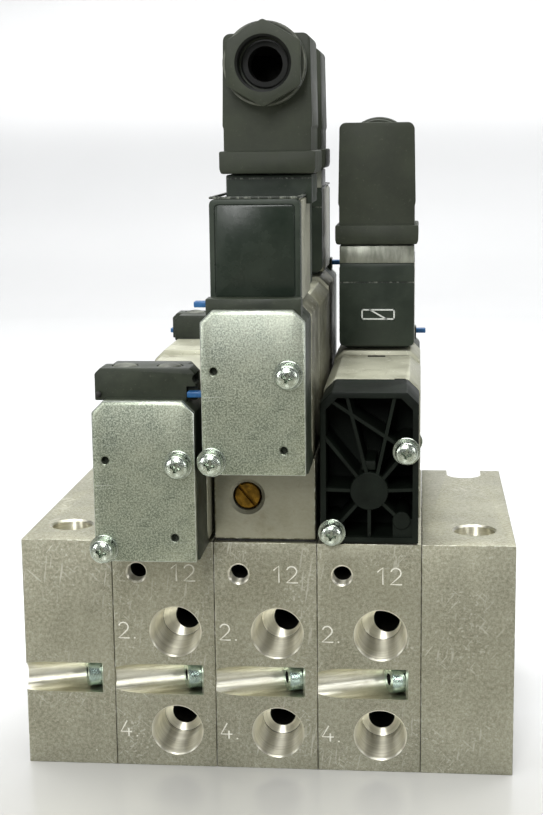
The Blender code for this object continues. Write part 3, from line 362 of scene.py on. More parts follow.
class Paint:
    """A Principled material with the few nodes that its pattern needs. Sizes are in millimetres."""

    def __init__(self, name, roughness, metallic=0.0, specular=0.5):
        self.material = bpy.data.materials.new(name)
        self.material.use_nodes = True
        self.tree = self.material.node_tree
        self.shader = self.tree.nodes["Principled BSDF"]
        self.fill(self.shader, {"Roughness": roughness, "Metallic": metallic, "Specular IOR Level": specular})
        self.coordinates = self.tree.nodes.new("ShaderNodeTexCoord")

    def fill(self, node, values):
        """Gives a node's inputs their values, or links them to another node's output."""
        for key, value in values.items():
            if isinstance(value, bpy.types.NodeSocket):
                self.tree.links.new(value, node.inputs[key])
            else:
                node.inputs[key].default_value = value
        return node

    def add(self, kind, values):
        return self.fill(self.tree.nodes.new("ShaderNode" + kind), values)

    def noise(self, size, stretch=(1, 1, 1), turn=(0, 0, 0), detail=3.0, rough=0.55, warp=0.0):
        """Noise whose features are about size across, longer along an axis whose stretch is small."""
        mapping = self.add("Mapping", {
            "Vector": self.coordinates.outputs["Object"], "Rotation": [math.radians(a) for a in turn],
            "Scale": [1 / amount for amount in stretch],
        })
        mapping.vector_type = "TEXTURE"
        noise = self.add("TexNoise", {
            "Vector": mapping.outputs["Vector"], "Scale": 1 / (size * MM), "Detail": detail,
            "Roughness": rough, "Distortion": warp,
        })
        return noise.outputs["Fac"]

    def patches(self, size, low, high, **pattern):
        """Noise that is 0 below one level and 1 above another."""
        return self.span(self.noise(size, **pattern), low, high)

    def part(self, output, axis):
        return self.add("SeparateXYZ", {"Vector": self.coordinates.outputs[output]}).outputs[axis]

    def along(self, axis, low, high):
        """0 to 1 between two places on an axis of the piece."""
        return self.span(self.part("Object", axis), low * MM, high * MM)

    def sideways(self):
        """1 on faces to the left and right, 0 on the others."""
        return self.span(self.work("ABSOLUTE", self.part("Normal", "X"), 0.0), 0.25, 0.75)

    def span(self, value, low, high, first=0.0, last=1.0):
        """Maps low..high to first..last, and holds it outside."""
        limits = {"From Min": low, "From Max": high, "To Min": first, "To Max": last}
        return self.add("MapRange", {"Value": value, **limits}).outputs["Result"]

    def work(self, operation, first, second):
        node = self.add("Math", {0: first, 1: second})
        node.operation = operation
        return node.outputs["Value"]

    def mix(self, factor, first, second, most=1.0):
        """From the first colour to the second, or only the share most of the way."""
        if most < 1.0:
            factor = self.span(factor, 0.0, 1.0, 0.0, most)
        first, second = [(*value, 1.0) if isinstance(value, tuple) else value for value in (first, second)]
        node = self.add("Mix", {"Factor": factor, 6: first, 7: second})
        node.data_type = "RGBA"
        return node.outputs[2]

    def colour(self, value):
        self.fill(self.shader, {"Base Color": value})

    def roughness(self, value, smooth, coarse):
        """Roughness from smooth where the value is 0 to coarse where it is 1."""
        self.fill(self.shader, {"Roughness": self.span(value, 0.0, 1.0, smooth, coarse)})

    def turned(self, axis, amount=0.95):
        """Fine tool marks round the axis, which spread a reflection along it."""
        direction = self.add("CombineXYZ", dict(enumerate(axis)))
        self.fill(self.shader, {"Anisotropic": amount, "Tangent": direction.outputs["Vector"]})

    def bump(self, height, depth):
        node = self.add("Bump", {"Distance": depth * MM, "Strength": 1.0, "Height": height})
        self.fill(self.shader, {"Normal": node.outputs["Normal"]})

    def scratches(self, size, turns, level, spread, length):
        """Short thin streaks, one family for each turn in degrees about the three axes."""
        lines = None
        for number, turn in enumerate(turns):
            fine = self.noise(size * (1 + 0.19 * number), (1.0, length, 1.0), turn, 1.0, 0.3)
            family = self.span(fine, level, level + spread)
            lines = family if lines is None else self.work("MAXIMUM", lines, family)
        return lines


SCRATCH_TURNS = ((90, 38, 0), (90, -48, 0), (90, 8, 0), (0, 0, 32), (0, 0, -40))


def mottled(name, roughness, metallic, specular, pattern, colours, depth, grain=None, gloss=None):
    """Two colours in soft patches. The bump follows the patches, or a grain of its own size."""
    paint = Paint(name, roughness, metallic, specular)
    patches = paint.patches(**pattern)
    paint.colour(paint.mix(patches, *colours))
    if gloss:
        paint.roughness(patches, *gloss)
    paint.bump(paint.noise(grain) if grain else patches, depth)
    return paint.material


def machined_metal():
    """Raw milled aluminium: warm grey, clouded, with fine marks and bright scratches."""
    paint = Paint("machined_aluminium", 0.45, 0.85)
    clouds = paint.patches(22, 0.32, 0.68, detail=7.0, rough=0.62)
    base = paint.mix(clouds, (0.180, 0.175, 0.115), (0.295, 0.290, 0.210))
    grain = paint.patches(0.9, 0.40, 0.62, detail=6.0, rough=0.95)
    base = paint.mix(grain, base, (0.55, 0.54, 0.435), 0.80)
    fine = paint.scratches(0.45, SCRATCH_TURNS, 0.66, 0.10, 0.09)
    fine = paint.work("MULTIPLY", fine, paint.patches(15, 0.44, 0.60))
    base = paint.mix(fine, base, (0.78, 0.77, 0.68), 0.42)
    specks = paint.patches(1.2, 0.70, 0.73, stretch=(0.7, 1.0, 1.0), turn=(0, 25, 0), rough=0.9)
    paint.colour(paint.mix(specks, base, (0.95, 0.94, 0.86)))
    paint.roughness(paint.patches(6, 0.3, 0.7, detail=5.0), 0.38, 0.54)
    paint.bump(paint.work("SUBTRACT", grain, fine), 0.012)
    return paint.material


def turned_inside(name, axis):
    """The bright inside of a drilled hole, with faint turned rings across its axis."""
    paint = Paint(name, 0.5, 1.0)
    stretch = [0.03 + 0.97 * abs(c) for c in axis]
    rings = paint.patches(0.5, 0.3, 0.7, stretch=stretch, rough=0.6)
    paint.colour(paint.mix(rings, (0.70, 0.68, 0.56), (0.97, 0.95, 0.83)))
    paint.roughness(rings, 0.34, 0.46)
    paint.turned(axis)
    paint.bump(rings, 0.010)
    return paint.material


def slot_metal():
    """The milled slot of a joining screw: bright streaks along its length as painted highlight, with a little
    grime.
    """
    paint = Paint("slot_metal", 0.4, 1.0)
    turn = (0, 0, math.degrees(SLOT_ANGLE))
    # Painted highlight: bright streaks along the slot, where the concave slot reflects light.
    streaks = paint.patches(0.5, 0.3, 0.7, stretch=(0.05, 1.0, 1.0), turn=turn, detail=4.0, rough=0.6)
    stain = paint.patches(3.0, 0.50, 0.72, stretch=(0.4, 1.0, 1.0), turn=turn, detail=5.0, rough=0.7)
    base = paint.mix(streaks, (0.66, 0.64, 0.50), (0.95, 0.94, 0.84))
    paint.colour(paint.mix(stain, base, (0.30, 0.27, 0.16), 0.45))
    paint.roughness(streaks, 0.34, 0.46)
    paint.turned((math.cos(SLOT_ANGLE), math.sin(SLOT_ANGLE), 0.0), 0.8)
    paint.bump(streaks, 0.010)
    return paint.material


def satin_metal():
    """Milled aluminium of the throttle plate: smoother and a little greyer than the manifold."""
    paint = Paint("throttle_aluminium", 0.42, 0.75)
    clouds = paint.patches(9, 0.3, 0.7, detail=5.0)
    base = paint.mix(clouds, (0.28, 0.275, 0.205), (0.35, 0.345, 0.27))
    grain = paint.patches(0.3, 0.3, 0.7, stretch=(0.25, 1.0, 0.4), detail=4.0, rough=0.7)
    stain = paint.patches(7, 0.57, 0.72, detail=5.0, rough=0.7, warp=1.0)
    base = paint.mix(grain, base, (0.50, 0.49, 0.40), 0.25)
    paint.colour(paint.mix(stain, base, (0.15, 0.13, 0.07), 0.30))
    paint.roughness(clouds, 0.36, 0.48)
    paint.bump(grain, 0.008)
    return paint.material


def beige_metal(name, side_shade):
    """The valves' coated aluminium: pale beige, satin, dirty in places, and darker on its sides by painted shade.
    """
    paint = Paint(name, 0.42, 0.35)
    clouds = paint.patches(11, 0.35, 0.65, detail=5.0)
    base = paint.mix(clouds, (0.38, 0.38, 0.285), (0.50, 0.50, 0.39))
    grime = paint.patches(8, 0.56, 0.72, stretch=(1.0, 0.6, 1.0), detail=6.0, rough=0.72, warp=1.2)
    base = paint.mix(grime, base, (0.105, 0.085, 0.035), 0.7)
    # Painted shade: the left and right faces are darkened in soft patches, most on the middle valve, which its
    # neighbours shade.
    film = paint.span(paint.noise(7, detail=5.0, rough=0.7), 0.3, 0.6, 0.6 * side_shade, side_shade)
    base = paint.mix(paint.work("MULTIPLY", film, paint.sideways()), base, (0.060, 0.056, 0.028))
    lines = paint.scratches(0.6, ((0, 0, 35), (90, 25, 0)), 0.72, 0.04, 0.12)
    paint.colour(paint.mix(lines, base, (0.85, 0.85, 0.76), 0.5))
    paint.roughness(clouds, 0.36, 0.50)
    paint.bump(paint.noise(0.25, rough=0.7), 0.006)
    return paint.material


def zinc_plating(name, top_highlight):
    """Zinc-plated sheet: bluish grey-green with a fine crystalline speckle, and a painted highlight that lightens
    it towards its top.
    """
    paint = Paint(name, 0.36, 0.85)
    clouds = paint.patches(9, 0.36, 0.64, detail=6.0, rough=0.75)
    base = paint.mix(clouds, (0.100, 0.125, 0.092), (0.265, 0.285, 0.215))
    speckle = paint.patches(0.45, 0.42, 0.62, rough=0.9)
    base = paint.mix(speckle, base, (0.56, 0.61, 0.49), 0.85)
    # Painted highlight: the plate is lightened from 18 mm up to 38 mm above the seat.
    base = paint.mix(paint.along("Z", 18, 38), base, (0.86, 0.91, 0.83), top_highlight)
    lines = paint.scratches(0.5, ((90, 86, 0), (90, 60, 0)), 0.72, 0.08, 0.02)
    paint.colour(paint.mix(lines, base, (0.75, 0.78, 0.73), 0.35))
    paint.roughness(speckle, 0.30, 0.46)
    paint.bump(speckle, 0.010)
    return paint.material


def bright_steel(name, tint):
    """Bright zinc-plated screws and washers, with a little stain."""
    paint = Paint(name, 0.2, 1.0)
    stain = paint.patches(1.6, 0.45, 0.7, detail=4.0)
    paint.colour(paint.mix(stain, tint, tuple(c * 0.62 for c in tint)))
    nicks = paint.patches(0.3, 0.35, 0.65, rough=0.7)
    paint.roughness(nicks, 0.12, 0.30)
    paint.bump(nicks, 0.008)
    return paint.material


def plastic(name, dark, light, roughness, grain=0.35, depth=0.012, dust=0.25, specular=0.30):
    """Moulded black plastic: a soft grain, lighter where it is rubbed, and a film of pale dust."""
    paint = Paint(name, roughness, 0.0, specular)
    rubbed = paint.patches(9, 0.38, 0.68, detail=5.0, rough=0.6)
    specks = paint.patches(1.1, 0.60, 0.74, detail=5.0, rough=0.75)
    paint.colour(paint.mix(specks, paint.mix(rubbed, dark, light), (0.20, 0.20, 0.15), dust))
    paint.roughness(rubbed, roughness - 0.06, roughness + 0.08)
    paint.bump(paint.noise(grain, rough=0.6), depth)
    return paint.material


def floor_paint():
    """A pale floor, a little darker and warmer close to the camera by painted shade."""
    paint = Paint("pale_floor", 0.22, 0.0, 1.0)
    clouds = paint.patches(250, 0.3, 0.7)
    shaded_near_part = paint.mix(clouds, (0.29, 0.28, 0.235), (0.31, 0.30, 0.255))
    far_part = paint.mix(clouds, (0.665, 0.67, 0.675), (0.69, 0.695, 0.70))
    # Painted shade: the floor darkens towards the camera, where the object's shadow falls in front of it.
    paint.colour(paint.mix(paint.along("Y", -130, 0), shaded_near_part, far_part))
    return paint.material


def make_paints():
    def pattern(size, low, high, detail=4.0, **more):
        return dict(size=size, low=low, high=high, detail=detail, **more)

    upright = (1.0, 1.0, 0.4)
    return {
        "metal": machined_metal(), "slot": slot_metal(), "satin": satin_metal(), "floor": floor_paint(),
        "bore": turned_inside("port_bore", BACKWARD), "hole": turned_inside("fixing_hole", UP),
        "side_bore": turned_inside("side_port_bore", RIGHTWARD),
        # The second beige paint has much stronger painted shade on its left and right faces, for the middle valve.
        "beige": beige_metal("beige_aluminium", 0.35), "side_shaded": beige_metal("side_shaded_aluminium", 0.95),
        # The second zinc paint has a stronger painted highlight towards the top, for the middle valve's plates.
        "zinc": zinc_plating("zinc_plating", 0.04), "top_lit_zinc": zinc_plating("top_lit_zinc_plating", 0.20),
        "steel": bright_steel("bright_steel", (0.56, 0.62, 0.54)),
        # Painted shade: the screws' cross recesses are a darker steel than their heads.
        "recess": bright_steel("shaded_recess_steel", (0.42, 0.47, 0.40)),
        "tinted": bright_steel("tinted_steel", (0.46, 0.58, 0.52)),
        "spring": bright_steel("spring_wire", (0.45, 0.46, 0.46)),
        "turned": bright_steel("turned_metal", (0.60, 0.60, 0.58)),
        # Wear and painted highlight: the rounded edges of the blocks and the throttle plate are paler than their
        # faces.
        "worn": mottled("worn_edge_and_highlight", 0.36, 0.9, 0.5, pattern(2.4, 0.48, 0.72, 6.0, rough=0.75),
                        ((0.24, 0.235, 0.17), (0.80, 0.79, 0.70)), 0.02),
        # Painted shade: holes, passages, grooves, sockets and cut marks are near black, as the shade deep inside
        # them.
        "dark": mottled("hollow_shade_black", 0.7, 0.0, 0.1, pattern(2, 0.35, 0.65),
                        ((0.006, 0.006, 0.005), (0.020, 0.020, 0.016)), 0.02),
        "engraved": mottled("engraved_metal", 0.6, 0.0, 0.4, pattern(0.25, 0.3, 0.7, 3.0),
                            ((0.62, 0.61, 0.52), (0.88, 0.87, 0.78)), 0.02),
        # Painted highlight: the cover plates' bevelled edges are a paler zinc.
        "zinc_edge_highlight": mottled("zinc_edge_highlight", 0.3, 0.9, 0.5, pattern(1.5, 0.35, 0.65),
                             ((0.38, 0.42, 0.36), (0.62, 0.66, 0.60)), 0.01),
        # Tarnished brass, darkened further as painted shade for the screw sunk in its bore.
        "brass": mottled("turned_brass", 0.3, 1.0, 0.5, pattern(2.2, 0.35, 0.7),
                         ((0.28, 0.155, 0.024), (0.07, 0.04, 0.008)), 0.01, 0.3, (0.22, 0.42)),
        "strip": mottled("grey_strip", 0.38, 0.6, 0.5,
                         pattern(6, 0.42, 0.62, 5.0, stretch=(1.0, 1.0, 0.3), rough=0.65),
                         ((0.16, 0.17, 0.135), (0.38, 0.39, 0.33)), 0.01),
        # Pale beads of the coil's seal; the same paint gives the painted highlight along the lid's foot.
        "beads_and_highlights": mottled("pale_beads_and_highlights", 0.42, 0.0, 0.4, pattern(1.6, 0.50, 0.68, 5.0, stretch=upright, rough=0.75),
                         ((0.016, 0.021, 0.015), (0.26, 0.28, 0.23)), 0.03),
        "blue": mottled("blue_plastic", 0.38, 0.0, 0.5, pattern(1.5, 0.4, 0.7),
                        ((0.010, 0.085, 0.24), (0.025, 0.14, 0.34)), 0.01, 0.3),
        "rubber": mottled("black_rubber", 0.7, 0.0, 0.3, pattern(2, 0.4, 0.7),
                          ((0.012, 0.012, 0.011), (0.035, 0.035, 0.032)), 0.02, 0.25),
        "print": mottled("white_print", 0.55, 0.0, 0.5, pattern(0.35, 0.35, 0.7, 3.0),
                         ((0.80, 0.82, 0.78), (0.52, 0.55, 0.51)), 0.01),
        "housing": plastic("black_housing", (0.017, 0.022, 0.014), (0.034, 0.042, 0.026), 0.44),
        "cap": plastic("black_cap", (0.004, 0.006, 0.004), (0.009, 0.013, 0.009), 0.55, dust=0.06,
                       specular=0.12),
        "coil": plastic("coil_plastic", (0.020, 0.028, 0.020), (0.033, 0.044, 0.031), 0.40, dust=0.14),
        "lid": plastic("coil_lid_gloss", (0.014, 0.021, 0.015), (0.023, 0.032, 0.023), 0.26, 1.4, 0.02, 0.10),
        "plug": plastic("plug_plastic", (0.025, 0.030, 0.019), (0.038, 0.045, 0.029), 0.52, 0.22, 0.03, 0.22),
        "bore_black": plastic("gland_inside", (0.003, 0.004, 0.003), (0.010, 0.011, 0.009), 0.62, dust=0.05),
        # Pale dust and painted highlight on black plastic, for the pilot head's domes and the gland's rim.
        "rubbed": plastic("dust_and_highlight_rim", (0.03, 0.033, 0.024), (0.20, 0.21, 0.17), 0.45, dust=0.6),
    }


# --- Manifold ---

def stroke_cutter(points, x, z, size, front):
    """A groove along a polyline of unit points, in the front face."""
    curve = bpy.data.curves.new("stroke", "CURVE")
    curve.dimensions = "3D"
    curve.bevel_depth = STROKE_RADIUS
    curve.bevel_resolution = 1
    curve.use_fill_caps = True
    spline = curve.splines.new("POLY")
    spline.points.add(len(points) - 1)
    for point, (u, v) in zip(spline.points, points):
        point.co = (x + u * size, front - STROKE_OUT, z + v * size, 1.0)
    holder = bpy.data.objects.new("stroke", curve)
    bpy.context.scene.collection.objects.link(holder)
    evaluated = holder.evaluated_get(bpy.context.evaluated_depsgraph_get())
    mesh = bpy.data.meshes.new_from_object(evaluated)
    bpy.data.objects.remove(holder, do_unlink=True)
    bm = bmesh.new()
    bm.from_mesh(mesh)
    bmesh.ops.remove_doubles(bm, verts=bm.verts, dist=1e-3)
    bpy.data.meshes.remove(mesh)
    return WORLD.finish("stroke_cutter", bm, "engraved")


DIGITS = {
    "1": [[(0.10, 0.74), (0.42, 1.0), (0.42, 0.0)]],
    "2": [arc((0.34, 0.70), 0.29, 165, -40, 8) + [(0.04, 0.02), (0.70, 0.02)]],
    "4": [[(0.40, 1.0), (0.02, 0.30), (0.70, 0.30)], [(0.50, 0.52), (0.50, 0.0)]],
    ".": [[(0.14, 0.03), (0.24, 0.03)]],
}


def number_cutters(text, x, z, size, front):
    """Single-stroke numbers, engraved from x to the right."""
    step = 0.82 * size
    return [
        stroke_cutter(line, x + place * step, z, size, front)
        for place, mark in enumerate(text) for line in DIGITS[mark]
    ]


def slot_frame(joint, front):
    """The seat of the joining screw that crosses a joint, and its directions along and into the slot."""
    seat = Vector((joint - SEAT_TO_JOINT, front + SEAT_DEPTH, SLOT_HEIGHT))
    along = Vector((math.cos(SLOT_ANGLE), math.sin(SLOT_ANGLE), 0.0))
    return seat, along, Vector((-along.y, along.x, 0.0))


def slot_cutter(joint, front):
    """The slanted slot of a joining screw, with a deeper place for its head."""
    seat, along, inward = slot_frame(joint, front)
    outward, length, shorter = 20, 36, 0.95
    turn = Matrix((inward, along, UP)).transposed().to_4x4()
    cutters = []
    for edge, end in ((SLOT_HEAD, 0.0), (outward, -shorter)):
        bend = arc((0.0, 0.0), SLOT_RADIUS, -90, 90, 32)
        outline = [(-edge, -SLOT_RADIUS), *bend, (-edge, SLOT_RADIUS)]
        bm = prism_mesh(outline, -length, end)
        bmesh.ops.transform(bm, matrix=Matrix.Translation(seat) @ turn, verts=bm.verts)
        cutters.append(WORLD.finish("slot_cutter", bm, "slot"))
    return carve(cutters[0], cutters[1:], "UNION")


def screw_hole_cutter(joint, front):
    seat, along, _ = slot_frame(joint, front)
    return WORLD.rod("hole_cutter", seat - along, along, 2.3, 14, "dark")


def make_block(node, cutters):
    """A milled block with edges paler from wear and painted highlight, and the three long channels through it."""
    low, high = WORLD.cad(node)
    closer = Vector((0.1, 0.0, 0.0))
    block = WORLD.box(node + "_block", low - closer, high + closer, "metal", 0.16, 2, "worn")
    channels = [
        WORLD.rod("channel_cutter", (low.x - 1, y, z), RIGHTWARD, CHANNEL, high.x - low.x + 2, "dark")
        for y, z in CHANNELS
    ]
    show(carve(block, cutters + channels), node)


def make_sub_base(number, joint):
    node = f"sub_base_{number}"
    low, high = WORLD.cad(node)
    centre, front = (low.x + high.x) / 2, low.y
    previous = joint - (high.x - low.x + JOINT_GAP)
    cutters = [slot_cutter(joint, front), screw_hole_cutter(joint, front), screw_hole_cutter(previous, front)]
    x = centre + PORT_SIDE
    port_end, groove, start = PORT_SHAPE[2], 0.3, front + PORT_DEPTH - 1
    for key, (z, step, end) in PORTS.items():
        cutters += [
            WORLD.bore((x, front, z), FRONTWARD, "bore", *PORT_SHAPE),
            # The relief groove at the port's end is near black, as painted shade.
            WORLD.ring("relief_cutter", (x, front + PORT_DEPTH - 0.28, z), BACKWARD, port_end - groove,
                       port_end + groove, 0.26, "dark", edge=0.02),
            WORLD.rod("passage_cutter", (x + step, start, z), BACKWARD, PASSAGE, end - start, "dark"),
        ]
        cutters += number_cutters(key + ".", centre - 12.4, z - 2.1, 4.4, front)
    side, z, radius, rim, depth = PILOT_PORT
    x = centre + side
    cutters += [
        WORLD.bore((x, front, z), FRONTWARD, "bore", rim, radius, radius, PILOT_LIT, DRILL_POINT),
        WORLD.rod("pilot_cutter", (x, front + PILOT_LIT, z), BACKWARD, radius, depth - PILOT_LIT, "dark"),
    ]
    cutters += number_cutters("12", centre + 1.7, z - 2.2, 4.5, front)
    make_block(node, cutters + WORLD.air_ways(None, high.z + 1, x=centre))


def rear_slot_cutter(x, top, back):
    """The fixing slot at the back of an end plate, as an outline in X and Y run along Z."""
    _, y, radius = REAR_SLOT
    open_end = back - y + 2
    outline = arc((0.0, 0.0), radius, 180, 360, 32) + [(radius, open_end), (-radius, open_end)]
    bm = prism_mesh(outline, -1, top + 1)
    swap = Matrix(((1, 0, 0), (0, 0, 1), (0, 1, 0))).to_4x4()
    bmesh.ops.transform(bm, matrix=Matrix.Translation((x, y, 0.0)) @ swap, verts=bm.verts)
    return WORLD.finish("rear_slot_cutter", bm, "hole")


def make_end_plate(node, side, joint):
    low, high = WORLD.cad(node)
    hole_x, hole_y, radius, counterbore, depth = FIXING_HOLE
    chamfer = 0.5
    profile = [
        (0.0, 1), (counterbore + chamfer + 1, 1), (counterbore, -chamfer), (counterbore, -depth),
        (radius, -depth), (radius, -high.z - 1), (0.0, -high.z - 1),
    ]
    cutters = [
        WORLD.lathe("fixing_cutter", profile, (side * hole_x, hole_y, high.z), UP, "hole"),
        rear_slot_cutter(side * REAR_SLOT[0], high.z, high.y),
    ]
    outer = high.x if side > 0 else low.x
    cutters += [WORLD.bore((outer, y, z), (side, 0, 0), "side_bore", *PORT_SHAPE) for y, z in CHANNELS]
    if side < 0:
        cutters.append(slot_cutter(joint, low.y))
    make_block(node, cutters + [screw_hole_cutter(joint, low.y)])


def make_joining_screw(number, joint, front):
    """A cap screw in its slot: a plain head with a hexagon socket, and the shank."""
    node = f"joining_screw_{number}"
    low, high = WORLD.cad(node)
    seat, along, _ = slot_frame(joint, front)
    seat -= along * 0.3
    head, head_length, shank, edge = (high.z - low.z) / 2, 4, 2, 0.4
    profile = [
        (0.0, 12), (shank, 12), (shank, 0.0), (head - 0.2, 0.0), (head, -0.2),
        (head, edge - head_length), (head - edge, -head_length), (0.0, -head_length),
    ]
    screw = WORLD.lathe(node + "_turned", profile, seat, along, "tinted")
    hexagon = [(0.0, -1), (1.73, -1), (1.73, 2), (0.0, 2.6)]
    socket = WORLD.lathe("socket_cutter", hexagon, seat - along * head_length, along, "dark", 6)
    show(carve(screw, [socket]), node)


def make_manifold():
    low, high = WORLD.cad("left_end_plate")
    joints = [high.x + JOINT_GAP / 2]
    pitch = WORLD.cad("sub_base_2")[0].x - WORLD.cad("sub_base_1")[0].x
    for number in (1, 2, 3):
        joints.append(joints[0] + number * pitch)
        make_sub_base(number, joints[number])
    make_end_plate("left_end_plate", -1, joints[0])
    make_end_plate("right_end_plate", 1, joints[3])
    for number, joint in enumerate(joints, start=1):
        make_joining_screw(number, joint, low.y)


# --- Throttle plate ---

def make_gasket(place, name, low, high, edge, node=None):
    """A rubber sheet with holes for the air ways."""
    sheet = place.box(name, low, high, "rubber", edge, 1)
    show(carve(sheet, place.air_ways(low.z - 1, high.z + 1, "rubber")), node)


def make_throttle():
    low, high = WORLD.cad("throttle_plate")
    screw_low, screw_high = WORLD.cad("throttle_screw")
    middle = (screw_low + screw_high) / 2
    plate = WORLD.box("throttle_plate_block", low, high, "satin", 0.4, 3, "worn")
    rim, bore, depth = 4.7, 3.8, 13.8
    face = Vector((middle.x, low.y, middle.z))
    cutters = [WORLD.bore(face, FRONTWARD, "satin", rim, bore, bore, depth, DRILL_POINT)]
    cutters += WORLD.air_ways(low.z - 1, high.z + 1)
    needle = face + Vector((0.0, 12, 0.0))
    cutters.append(WORLD.rod("needle_cutter", needle, BACKWARD, 1.25, 14, "dark", BORE_SIDES))
    show(carve(plate, cutters), "throttle_plate")
    inset = Vector((0.4, 0.4, 0.02))
    sheet_low = Vector((low.x, low.y, WORLD.cad("sub_base_2")[1].z)) + inset
    make_gasket(WORLD, "throttle_plate_gasket", sheet_low, Vector((high.x, high.y, low.z)) - inset, 0.05)
    make_throttle_screw(screw_low, screw_high, middle)


def make_throttle_screw(low, high, middle):
    radius, length, edge = (high.x - low.x) / 2, high.y - low.y, 0.35
    profile = [
        (0.0, 0.0), (radius - edge, 0.0), (radius, -edge), (radius, 3 - length),
        (radius - 0.2, 2.8 - length), (0.0, -length),
    ]
    head = (middle.x, low.y, middle.z)
    screw = WORLD.lathe("throttle_screw_turned", profile, head, FRONTWARD, "brass")
    turn = Matrix.Translation(Vector(head) * MM) @ Matrix.Rotation(math.radians(-40), 4, "Y")
    slot = Place(turn).box("slot_cutter", (-0.5, -1, -5), (0.5, 1.4, 5), "brass", 0.0)
    show(carve(screw, [slot]), "throttle_screw", "throttle_screw")


# --- Screws and washers ---

def make_pan_screw(name, x, z, face, place, node=None):
    """A pan-head screw with a cross recess, on a spring washer and a flat washer."""
    flat, split, shank = 0.6, 0.9, 1.5
    washer = place.ring(name + "_flat_washer", (x, face - 0.03, z), FRONTWARD, 1.7, 3.55, flat, "steel",
                        SMALL_SIDES, 0.12)
    show(washer)
    show(make_spring_washer(name + "_spring_washer", x, z, face - flat - 0.08, split, place))
    under = face - flat - split - 0.25
    head, height, round_off = 2.85, 2.4, 0.95
    crown = [(head * math.cos(a), height - round_off + round_off * math.sin(a))
             for a in [math.radians(90 - 8 * i) for i in range(11)]]
    profile = [(0.0, height)] + crown + [
        (head, height - 1.1), (head, 0.15), (head - 0.15, 0.0), (shank, 0.0), (shank, -11.7), (0.0, -11.7),
    ]
    screw = place.lathe(name + "_turned", profile, (x, under, z), FRONTWARD, "steel", SMALL_SIDES)
    show(carve(screw, recess_cutters(Vector((x, under - height, z)), place)), node)


def recess_cutters(front, place):
    """Two crossed wings that narrow towards their tips, tilted a little, and a centre cone, all in a darker steel
    as painted shade.
    """
    spin, half, wing, depth = 12, 0.42, 1.75, 1.5
    cutters = []
    for angle in (spin, spin + 90):
        bm = bmesh.new()
        for vert in add_box(bm, (-wing, -1, -half), (wing, depth, half)):
            if vert.co.y > 0:
                vert.co.x *= 0.45
                vert.co.z *= 0.7
        turn = Matrix.Rotation(math.radians(angle), 4, "Y")
        bmesh.ops.transform(bm, matrix=Matrix.Translation(front) @ turn, verts=bm.verts)
        cutters.append(place.finish("wing_cutter", bm, "recess"))
    cone = [(0.0, 1.2), (1.1, 1.2), (0.75, -0.7), (0.0, -1.5)]
    return cutters + [place.lathe("cone_cutter", cone, front, FRONTWARD, "recess", BORE_SIDES)]


def make_spring_washer(name, x, z, face, thickness, place):
    """A split ring whose two ends stand a little apart."""
    inner, outer, lift = 1.7, 3.1, 0.12
    steps, gap = 44, math.radians(8)
    corners = ((inner, 0.0), (outer, 0.0), (outer, -thickness), (inner, -thickness))
    bm = bmesh.new()
    sections = []
    for share in [i / steps for i in range(steps + 1)]:
        angle = gap / 2 + (math.tau - gap) * share + math.radians(40)
        sections.append([
            bm.verts.new((x + r * math.cos(angle), face - lift * share + step, z + r * math.sin(angle)))
            for r, step in corners
        ])
    join_rings(bm, sections)
    return place.finish(name, bm, "steel")


# --- Valve bodies ---

def make_body(name, place, paint):
    node = name + "_valve_body"
    low, high = place.cad(node)
    half = (high.x - low.x) / 2
    body = place.prism(node + "_shell", chamfered(half, low.z, high.z), low.y, high.y, paint)
    length = high.y - low.y + 2
    cutters = [place.rod("bore_cutter", (0.0, low.y - 1, SPOOL_HEIGHT), BACKWARD, 5.5, length, "bore")]
    cutters += place.air_ways(0.0, SPOOL_HEIGHT)
    if name == "right":
        # Painted shade: the notch and the mark on the top are near black.
        notch_low, notch_high = (6.0, low.y - 1, high.z - 0.8), (9.0, low.y + 0.5, high.z + 1)
        mark_low, mark_high = (-2.6, high.y - 4.0, high.z - 0.5), (2.6, high.y - 1.2, high.z + 1)
        cutters.append(place.box("notch_cutter", notch_low, notch_high, "dark", 0.0))
        cutters.append(place.box("mark_cutter", mark_low, mark_high, "dark", 0.0))
    for x in (0.35 - half, half - 0.35):
        groove_low, groove_high = (x - 0.6, low.y - 1, 9), (x + 0.6, high.y + 1, 10.2)
        cutters.append(place.box("groove_cutter", groove_low, groove_high, paint, 0.0))
    show(carve(body, cutters), node)
    gasket = name + "_gasket"
    make_gasket(place, gasket + "_sheet", *place.cad(gasket), 0.1, gasket)


def make_pilot_block(unit, place, paint):
    node = unit + "_pilot_block"
    low, high = place.cad(node)
    outline = chamfered((high.x - low.x) / 2, low.z, high.z)
    block = place.prism(node + "_shell", outline, low.y, high.y, paint, 0.35)
    way = place.rod("way_cutter", (0.0, low.y - 1, SPOOL_HEIGHT), BACKWARD, 3, high.y - low.y + 2, "dark")
    show(carve(block, [way]), node)


# --- Pilot housings and cover plates ---

def override_pocket(node, place, above):
    """The open pocket that a manual override moves in, closed a little above it."""
    low, high = place.cad(node)
    gap, beyond, travel = 0.25, 3, 1.2
    left, right = (gap, beyond) if low.x > 0 else (beyond, gap)
    return place.box("pocket_cutter", (low.x - left, low.y - gap, low.z - travel),
                     (high.x + right, high.y + gap, high.z + above), "housing", 0.0)


def screw_wells(face, places, place):
    return [place.rod("well_cutter", (x, face - 3, z), BACKWARD, 1.8, 17, "dark", BORE_SIDES) for x, z in places]


